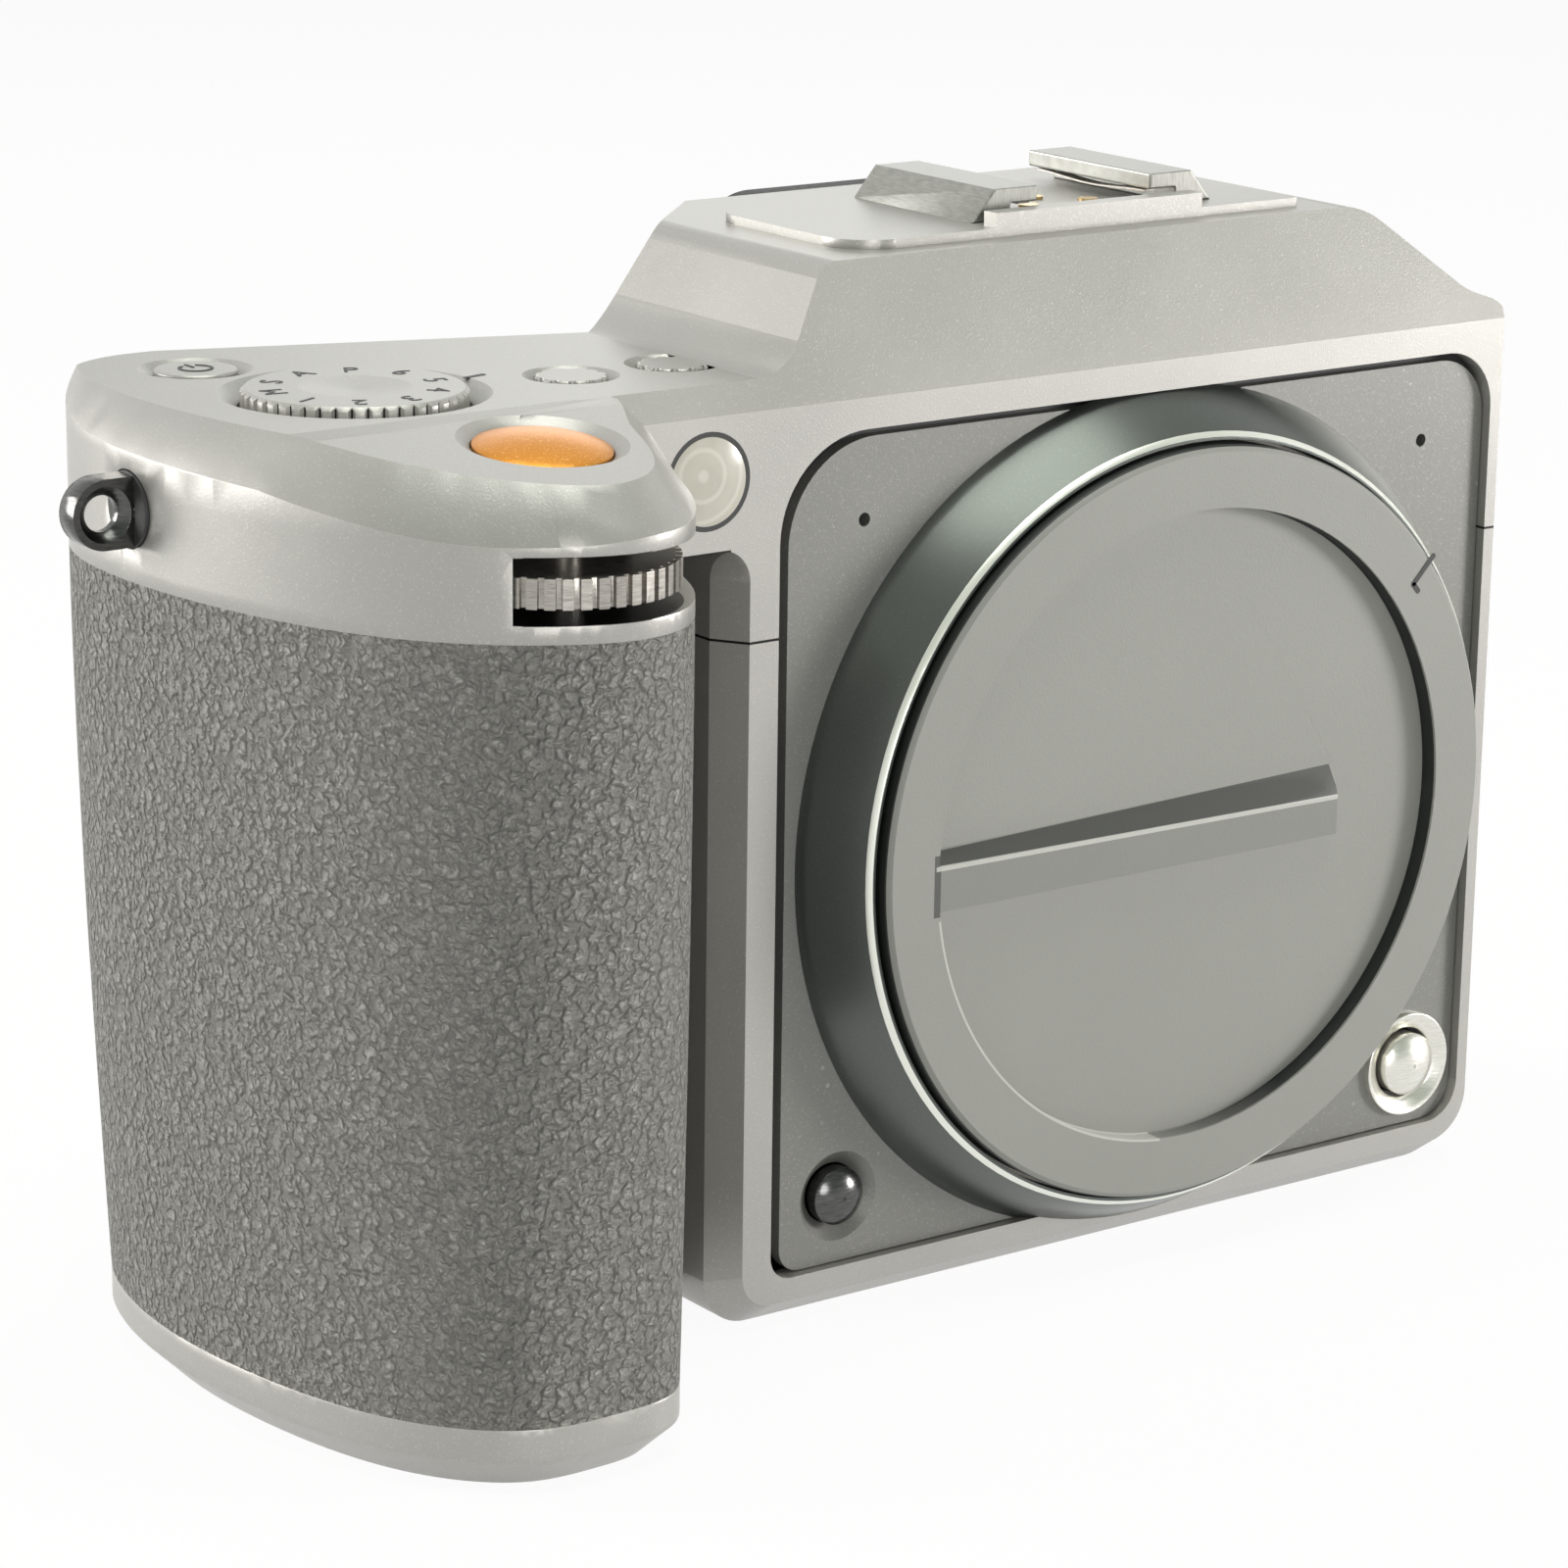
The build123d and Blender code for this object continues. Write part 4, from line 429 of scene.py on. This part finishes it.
finishes = {
    "alloy": {"low": (0.345, 0.338, 0.318), "high": (0.39, 0.382, 0.36), "metallic": 0.6, "rough": 0.38,
              "bump": 0.35, "grain": 5200.0, "sparkle": 1.3, "dust": 0.03},
    "plate": {"low": (0.175, 0.175, 0.162), "high": (0.20, 0.20, 0.186), "metallic": 0.5, "rough": 0.42,
              "bump": 0.3, "grain": 5600.0, "sparkle": 1.5, "dust": 0.09},
    "ring": {"low": (0.105, 0.115, 0.106), "high": (0.125, 0.135, 0.125), "metallic": 0.75, "rough": 0.28,
             "bump": 0.15, "grain": 6000.0, "sparkle": 1.3, "dust": 0.05},
    "cap": {"low": (0.225, 0.225, 0.208), "high": (0.25, 0.25, 0.232), "rough": 0.45, "bump": 0.3,
            "grain": 4200.0},
    "black": {"low": (0.012, 0.012, 0.012), "high": (0.022, 0.022, 0.022), "rough": 0.55, "bump": 0.3,
              "grain": 3000.0},
    "cell": {"low": (0.06, 0.06, 0.06), "high": (0.08, 0.08, 0.08), "rough": 0.5, "bump": 0.3,
             "grain": 2600.0},
    "board": {"low": (0.02, 0.12, 0.05), "high": (0.03, 0.18, 0.08), "rough": 0.5, "bump": 0.2,
              "grain": 1500.0},
    "rubber": {"low": (0.215, 0.211, 0.194), "high": (0.31, 0.304, 0.281), "rough": 0.45, "bump": 1.0,
               "depth": 1.2 * mm, "scale": 1250.0, "stretch": 0.4},
    "softRubber": {"low": (0.02, 0.02, 0.02), "high": (0.045, 0.045, 0.045), "rough": 0.6, "bump": 0.25,
                   "depth": 0.1 * mm, "scale": 3600.0, "stretch": 0.35},
    "steel": {"low": (0.28, 0.26, 0.235), "high": (0.43, 0.41, 0.375), "metallic": 0.85, "rough": 0.3,
              "bump": 0.1},
    "shoe": {"low": (0.24, 0.24, 0.22), "high": (0.32, 0.32, 0.295), "metallic": 0.7, "rough": 0.34,
             "bump": 0.1},
    "chrome": {"low": (0.70, 0.69, 0.63), "high": (0.80, 0.79, 0.73), "metallic": 0.9, "rough": 0.22,
               "bump": 0.03},
    "darkSteel": {"low": (0.075, 0.075, 0.073), "high": (0.13, 0.13, 0.126), "metallic": 1.0, "rough": 0.2,
                  "bump": 0.05},
    "gold": {"low": (0.72, 0.50, 0.20), "high": (0.85, 0.62, 0.28), "metallic": 1.0, "rough": 0.2,
             "bump": 0.05},
    "screen": {"low": (0.006, 0.006, 0.007), "high": (0.010, 0.010, 0.012), "metallic": 0.0, "rough": 0.05,
               "coat": 0.2},
    "sensor": {"low": (0.02, 0.05, 0.06), "high": (0.06, 0.05, 0.09), "metallic": 0.6, "rough": 0.1,
               "coat": 0.6},
}

# warm satin orange that turns yellow towards its lower front rim, a painted highlight
anodising = {"middle": place(-69.9, -7.6, 83.0), "front": (-0.35, -0.93, 0.0),
             "span": (-3.92 * mm, 2.8 * mm), "back": (0.74, 0.33, 0.11), "rim": (0.62, 0.235, 0.012),
             "spark": (1.0, 0.62, 0.2), "grain": 5200.0, "slow": 90.0, "bump": 0.25, "depth": 0.04 * mm,
             "metallic": 0.55, "rough": 0.34}


def orangeAnodised():
    material, tree, shader, coords = newMaterial("orangeAnodised")
    grain = useGroup(tree, blastedGrain, coords, Scale=anodising["grain"], Slow_Scale=anodising["slow"])
    away = vectorMaths(tree, "SUBTRACT", coords, tuple(anodising["middle"]))
    front = vectorMaths(tree, "DOT_PRODUCT", away, anodising["front"])
    deep = remap(tree, front, anodising["span"], kind="SMOOTHSTEP")
    colour = mixColours(tree, deep, anodising["back"], anodising["rim"])
    colour = mixColours(tree, grain.outputs["Sparkle"], colour, anodising["spark"])
    feed(tree, shader, {"Base Color": colour, "Metallic": anodising["metallic"],
                        "Roughness": anodising["rough"]})
    addBump(tree, shader, grain.outputs["Height"], anodising["bump"], anodising["depth"])
    return material


# a diffusing lens with faint rings moulded in it, drawn as pale lines: a painted highlight on the rings
lampLens = {"middle": place(-49.4, 0, 76.6), "waves": 3600.0, "crest": (0.55, 1.0), "faint": 0.25,
            "low": (0.36, 0.345, 0.29), "high": (0.50, 0.475, 0.41), "line": (0.75, 0.73, 0.66),
            "cloud": 350.0, "detail": 2.0, "rough": 0.16, "coat": 0.7}


def milkyLamp():
    material, tree, shader, coords = newMaterial("milkyLamp")
    away = vectorMaths(tree, "DISTANCE", coords, tuple(lampLens["middle"]))
    rings = maths(tree, "SINE", maths(tree, "MULTIPLY", away, lampLens["waves"]))
    lines = remap(tree, rings, lampLens["crest"])
    cloud = noise(tree, coords, lampLens["cloud"], lampLens["detail"]).outputs[0]
    colour = mixColours(tree, cloud, lampLens["low"], lampLens["high"])
    colour = mixColours(tree, maths(tree, "MULTIPLY", lines, lampLens["faint"]), colour, lampLens["line"])
    feed(tree, shader, {"Base Color": colour, "Roughness": lampLens["rough"],
                        "Coat Weight": lampLens["coat"]})
    return material


made = {
    "alloy": blastedMetal("greyAlloy", finishes["alloy"]),
    "deck": blastedMetal("greyAlloyDeck", finishes["alloy"], painted=deckShadeAndSeamMask),
    "frame": blastedMetal("greyAlloyFrame", finishes["alloy"], painted=seamMask),
    "dial": blastedMetal("greyAlloyDial", finishes["alloy"], painted=toothShadeMask),
    "plate": blastedMetal("oliveGreyPlate", finishes["plate"]),
    "ring": blastedMetal("charcoalRing", finishes["ring"], bare=ringMask),
    "cap": mouldedPlastic("greyCapPlastic", finishes["cap"], painted=capShadeMask, shaded=barMask,
                          shining=shineMask),
    "black": mouldedPlastic("blackPlastic", finishes["black"]),
    "cell": mouldedPlastic("batteryPlastic", finishes["cell"]),
    "board": mouldedPlastic("boardGreen", finishes["board"]),
    "rubber": rubberSkin("pebbledGripRubber", finishes["rubber"]),
    "softRubber": rubberSkin("softBlackRubber", finishes["softRubber"]),
    "steel": turnedMetal("turnedSteel", finishes["steel"]),
    "shoe": turnedMetal("satinShoeMetal", finishes["shoe"], axis=0),
    "chrome": turnedMetal("polishedChrome", finishes["chrome"]),
    "darkSteel": turnedMetal("darkPolishedSteel", finishes["darkSteel"]),
    "gold": turnedMetal("goldPlate", finishes["gold"]),
    "screen": coatedGlass("screenGlass", finishes["screen"]),
    "sensor": coatedGlass("sensorFilter", finishes["sensor"]),
    "orange": orangeAnodised(),
    "lamp": milkyLamp(),
}

menuButtons = [f"menu_button_{i}" for i in range(1, 6)]
wears = {
    "deck": ["top_cover"],
    "frame": ["lower_body"],
    "dial": ["mode_dial"],
    "alloy": ["rear_cover", "grip_foot", "shoe_slab", "power_button", "focus_button", "speed_button",
              "lock_button", "drive_button", "eyepiece_housing"],
    "plate": ["front_plate"],
    "ring": ["mount_housing"],
    "cap": ["body_cap"],
    "black": ["grip_core", "battery_catch", "contact_block", "light_baffle", "chassis", "lamp_bezel",
              "lug_collars", "display_panel", "diopter_wheel", "card_slots", "port_sockets", *menuButtons],
    "cell": ["battery"],
    "board": ["main_board"],
    "rubber": ["grip_rubber", "thumb_rest"],
    "softRubber": ["eyecup", "ports_door", "cards_door"],
    "shoe": ["shoe_rails"],
    "steel": ["lens_mount", "lock_pin", "dial_post", "front_wheel", "rear_wheel", "wheel_axles",
              "door_pins", "tripod_socket"],
    "chrome": ["release_button", "release_bezel"],
    "darkSteel": ["stop_down_button", "strap_lugs", "screws"],
    "gold": ["lens_contacts", "shoe_contacts"],
    "screen": ["display_glass", "sensor_glass", "eyepiece_lens"],
    "sensor": ["sensor_module"],
    "orange": ["shutter_button"],
    "lamp": ["lamp_lens"],
}
for finish, names in wears.items():
    for name in names:
        nodes[name].data.materials.clear()
        nodes[name].data.materials.append(made[finish])
print("finishes made")

# rounded edges that catch the light, in millimetres
edgeRounds = {
    "top_cover": 0.28, "lower_body": 0.28, "rear_cover": 0.25, "grip_foot": 0.25, "mount_housing": 0.12,
    "body_cap": 0.18, "shoe_slab": 0.12, "shoe_rails": 0.2, "shutter_button": 0.25, "mode_dial": 0.08,
    "power_button": 0.12, "focus_button": 0.1, "speed_button": 0.1, "lock_button": 0.1, "drive_button": 0.1,
    "eyepiece_housing": 0.3, "strap_lugs": 0.18, "lug_collars": 0.12, "release_bezel": 0.15,
    "release_button": 0.12, "stop_down_button": 0.12, "front_wheel": 0.06, "rear_wheel": 0.06,
    "ports_door": 0.15, "cards_door": 0.15, "grip_core": 0.3, "battery": 0.3,
    **dict.fromkeys(menuButtons, 0.15), "lamp_bezel": 0.06, "lens_mount": 0.1, "tripod_socket": 0.12,
}
rounding = {"weld": 0.002, "segments": 2, "angle": 32}


def softenEdges(name, width):
    node = nodes[name]
    weld = node.modifiers.new("weld", "WELD")
    weld.merge_threshold = rounding["weld"] * mm
    bevel = node.modifiers.new("roundedEdges", "BEVEL")
    bevel.width, bevel.segments, bevel.limit_method = width * mm, rounding["segments"], "ANGLE"
    bevel.angle_limit = radians(rounding["angle"])
    bevel.use_clamp_overlap = True
    bevel.miter_outer = "MITER_ARC"
    bevel.harden_normals = True


for name, width in edgeRounds.items():
    softenEdges(name, width)
print("edges rounded")


# small pieces made here
def meshFrom(shape, name):
    bmesh.ops.recalc_face_normals(shape, faces=shape.faces)
    mesh = bpy.data.meshes.new(name)
    shape.to_mesh(mesh)
    shape.free()
    return mesh


def addShape(whole, shape):
    part = meshFrom(shape, "part")
    whole.from_mesh(part)
    bpy.data.meshes.remove(part)


def finishPiece(name, shape, finish, body):
    mesh = meshFrom(shape, name)
    piece = bpy.data.objects.new(name, mesh)
    bpy.context.scene.collection.objects.link(piece)
    mesh.materials.append(made[finish])
    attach(piece, body)


softEnd = {"share": 0.35, "segments": 3, "profile": 0.5}


def flatBar(width, length, thick):
    # a thin bar centred on the origin with softened ends
    shape = bmesh.new()
    bmesh.ops.create_cube(shape, size=1.0)
    bmesh.ops.scale(shape, vec=(width, length, thick), verts=shape.verts)
    ends = [edge for edge in shape.edges if abs(edge.verts[0].co.z - edge.verts[1].co.z) > thick / 2]
    bmesh.ops.bevel(shape, geom=ends, offset=min(width, length) * softEnd["share"],
                    segments=softEnd["segments"], profile=softEnd["profile"], affect="EDGES", material=-1)
    return shape


# legends on the mode dial, generic letters and plain numbers
legends = {"top": 84.42, "ring": 6.9, "size": 2.8, "thick": 0.04, "smooth": 3, "first": 62.0,
           "marks": ["P", "A", "S", "M", "1", "2", "3", "4", "5", "6"]}


def markMesh(mark):
    words = bpy.data.curves.new("mark", "FONT")
    words.body, words.size, words.extrude = mark, legends["size"] * mm, legends["thick"] * mm / 2
    words.align_x, words.align_y = "CENTER", "CENTER"
    words.resolution_u = legends["smooth"]
    holder = bpy.data.objects.new("mark", words)
    mesh = bpy.data.meshes.new_from_object(holder)
    bpy.data.objects.remove(holder)
    return mesh


def makeDialLegends():
    whole = bmesh.new()
    for i, mark in enumerate(legends["marks"]):
        mesh = markMesh(mark)
        angle = radians(legends["first"] + i * 360.0 / len(legends["marks"]))
        outward = Matrix.Translation((0, legends["ring"] * mm, 0))
        mesh.transform(Matrix.Rotation(angle - pi / 2, 4, "Z") @ outward)
        whole.from_mesh(mesh)
        bpy.data.meshes.remove(mesh)
    bmesh.ops.translate(whole, vec=place(*dialAt, legends["top"]), verts=whole.verts)
    finishPiece("dialLegends", whole, "black", "dial")


makeDialLegends()

# index line on the deck beside the dial
indexLine = {"at": (-62.3, 14.3, 83.91), "size": (0.5, 2.4, 0.06), "turn": -78.0}


def makeIndexLine():
    shape = flatBar(*(value * mm for value in indexLine["size"]))
    turn = Matrix.Rotation(radians(indexLine["turn"]), 3, "Z")
    bmesh.ops.rotate(shape, cent=(0, 0, 0), matrix=turn, verts=shape.verts)
    bmesh.ops.translate(shape, vec=place(*indexLine["at"]), verts=shape.verts)
    finishPiece("deckIndexLine", shape, "black", bodyName)


makeIndexLine()

# a ring broken by a bar on the power button; gapFrom and barAt are shares of the radius
powerMark = {"at": (-80.0, 29.4, 83.915), "radius": 1.35, "line": 0.28, "thick": 0.05, "segments": 40,
             "gap": 0.6, "gapFrom": 0.4, "bar": 1.5, "barAt": 0.8}


def makePowerMark():
    shape = bmesh.new()
    radius, line, thick = (powerMark[key] * mm for key in ("radius", "line", "thick"))
    edges = set()
    for reach in (radius + line / 2, radius - line / 2):
        ring = bmesh.ops.create_circle(shape, segments=powerMark["segments"], radius=reach, cap_ends=False)
        edges.update(edge for vert in ring["verts"] for edge in vert.link_edges)
    bmesh.ops.bridge_loops(shape, edges=list(edges))
    middles = {face: face.calc_center_median() for face in shape.faces}
    gone = [face for face, middle in middles.items()
            if middle.y > powerMark["gapFrom"] * radius and abs(middle.x) < powerMark["gap"] * mm]
    bmesh.ops.delete(shape, geom=gone, context="FACES")
    raised = bmesh.ops.extrude_face_region(shape, geom=shape.faces[:])
    lifted = [item for item in raised["geom"] if isinstance(item, bmesh.types.BMVert)]
    bmesh.ops.translate(shape, vec=(0, 0, thick), verts=lifted)
    bar = flatBar(line, powerMark["bar"] * mm, thick)
    bmesh.ops.translate(bar, vec=(0, radius * powerMark["barAt"], thick / 2), verts=bar.verts)
    addShape(shape, bar)
    bmesh.ops.translate(shape, vec=place(*powerMark["at"]), verts=shape.verts)
    finishPiece("powerMark", shape, "black", "power_key")


makePowerMark()

# the hooked notch at the cap's rim, drawn as thin black bars on its face: painted shade in place of the cut;
# points in width and height on its front
capNotch = {"route": ((27.1, 61.9), (24.75, 59.5), (25.4, 58.75)), "depth": -6.42, "width": 0.5,
            "thick": 0.06, "overlap": 0.3}


def makeCapNotch():
    shape = bmesh.new()
    route = capNotch["route"]
    for start, end in zip(route, route[1:]):
        across, up = end[0] - start[0], end[1] - start[1]
        length = (across ** 2 + up ** 2) ** 0.5 + capNotch["overlap"]
        bar = flatBar(length * mm, capNotch["width"] * mm, capNotch["thick"] * mm)
        turn = Matrix.Rotation(-atan2(up, across), 3, "Y") @ Matrix.Rotation(pi / 2, 3, "X")
        bmesh.ops.rotate(bar, cent=(0, 0, 0), matrix=turn, verts=bar.verts)
        middle = place((start[0] + end[0]) / 2, capNotch["depth"], (start[1] + end[1]) / 2)
        bmesh.ops.translate(bar, vec=middle, verts=bar.verts)
        addShape(shape, bar)
    finishPiece("capNotch", shape, "black", "cap")


makeCapNotch()

# leaf springs let into the shoe's rails, bowed down at the middle
leaf = {"x": 7.18, "depth": (11.4, 26.6), "width": 1.3, "z": 94.36, "thick": 0.14, "bow": 0.35, "steps": 12}


def makeShoeSprings():
    length = (leaf["depth"][1] - leaf["depth"][0]) * mm
    for side, name in ((-1, "leftShoeSpring"), (1, "rightShoeSpring")):
        shape = bmesh.new()
        bmesh.ops.create_grid(shape, x_segments=2, y_segments=leaf["steps"], size=0.5)
        bmesh.ops.scale(shape, vec=(leaf["width"] * mm, length, 1), verts=shape.verts)
        for vert in shape.verts:
            vert.co.z = -leaf["bow"] * mm * cos(vert.co.y / length * pi) ** 2
        bmesh.ops.solidify(shape, geom=shape.faces[:], thickness=leaf["thick"] * mm)
        middle = place(side * leaf["x"], sum(leaf["depth"]) / 2, leaf["z"])
        bmesh.ops.translate(shape, vec=middle, verts=shape.verts)
        finishPiece(name, shape, "steel", bodyName)


makeShoeSprings()
print("small pieces made")

# the floor and the room are plain white where they are seen, and give less light than that
studio = {"half": 4.0, "drop": 0.02 * mm, "matt": (0.86, 0.86, 0.85), "white": (1, 1, 1), "floor": 0.93,
          "light": 0.36}

# the room is dimmer above and in front
room = {"towards": (0.0, -0.55, 0.83), "span": (0.25, 0.85), "colour": (0.42, 0.47, 0.42)}


def seenShare(tree):
    path = tree.nodes.new("ShaderNodeLightPath")
    seen = maths(tree, "MAXIMUM", path.outputs["Is Camera Ray"], path.outputs["Is Glossy Ray"])
    return maths(tree, "MAXIMUM", seen, path.outputs["Is Transmission Ray"])


def makeFloor():
    shape = bmesh.new()
    bmesh.ops.create_grid(shape, x_segments=1, y_segments=1, size=studio["half"])
    floor = bpy.data.objects.new("floor", meshFrom(shape, "floor"))
    floor.location.z = -studio["drop"]
    bpy.context.scene.collection.objects.link(floor)
    material = bpy.data.materials.new("paleFloor")
    material.use_nodes = True
    tree = material.node_tree
    tree.nodes.clear()
    output = tree.nodes.new("ShaderNodeOutputMaterial")
    matt = addNode(tree, "ShaderNodeBsdfDiffuse", {"Color": (*studio["matt"], 1)})
    glow = addNode(tree, "ShaderNodeEmission", {"Color": (*studio["white"], 1)})
    share = maths(tree, "MULTIPLY", seenShare(tree), studio["floor"])
    mix = addNode(tree, "ShaderNodeMixShader", {0: share, 1: matt.outputs[0], 2: glow.outputs[0]})
    feed(tree, output, {0: mix.outputs[0]})
    floor.data.materials.append(material)


def makeRoom():
    world = bpy.data.worlds.new("studio")
    bpy.context.scene.world = world
    world.use_nodes = True
    tree = world.node_tree
    tree.nodes.clear()
    output = tree.nodes.new("ShaderNodeOutputWorld")
    strength = remap(tree, seenShare(tree), to=(studio["light"], 1.0))
    heading = tree.nodes.new("ShaderNodeTexCoord")
    lean = vectorMaths(tree, "DOT_PRODUCT", heading.outputs["Generated"], room["towards"])
    dim = remap(tree, lean, room["span"], kind="SMOOTHSTEP")
    colour = mixColours(tree, dim, studio["white"], room["colour"])
    back = addNode(tree, "ShaderNodeBackground", {"Color": colour, "Strength": strength})
    feed(tree, output, {0: back.outputs[0]})


lamps = {
    "topLamp": {"at": (-0.02, -0.06, 0.80), "size": 0.62, "power": 4.0, "colour": (0.98, 1.0, 0.95)},
    "backLamp": {"at": (0.46, 0.66, 0.34), "size": 0.30, "power": 0.22, "colour": (1.0, 1.0, 0.97)},
    "leftLamp": {"at": (-0.68, 0.60, 0.24), "size": 0.60, "power": 8.0, "colour": (1.0, 0.985, 0.96)},
    "rightLamp": {"at": (0.78, -0.54, 0.12), "size": 0.30, "power": 7.2, "colour": (1.0, 0.975, 0.965)},
    "frontLamp": {"at": (-0.34, -0.86, 0.20), "size": 0.40, "power": 2.7, "colour": (1.0, 0.985, 0.975)},
}
lampAim = Vector((-0.02, 0.0, 0.045))


def makeLamps():
    for name, lamp in lamps.items():
        data = bpy.data.lights.new(name, "AREA")
        data.shape, data.size, data.energy, data.color = "DISK", lamp["size"], lamp["power"], lamp["colour"]
        light = bpy.data.objects.new(name, data)
        light.location = lamp["at"]
        light.rotation_euler = (lampAim - light.location).to_track_quat("-Z", "Y").to_euler()
        bpy.context.scene.collection.objects.link(light)


makeFloor()
makeRoom()
makeLamps()
bpy.context.scene.view_settings.view_transform = "Standard"
print("stage and lamps set")
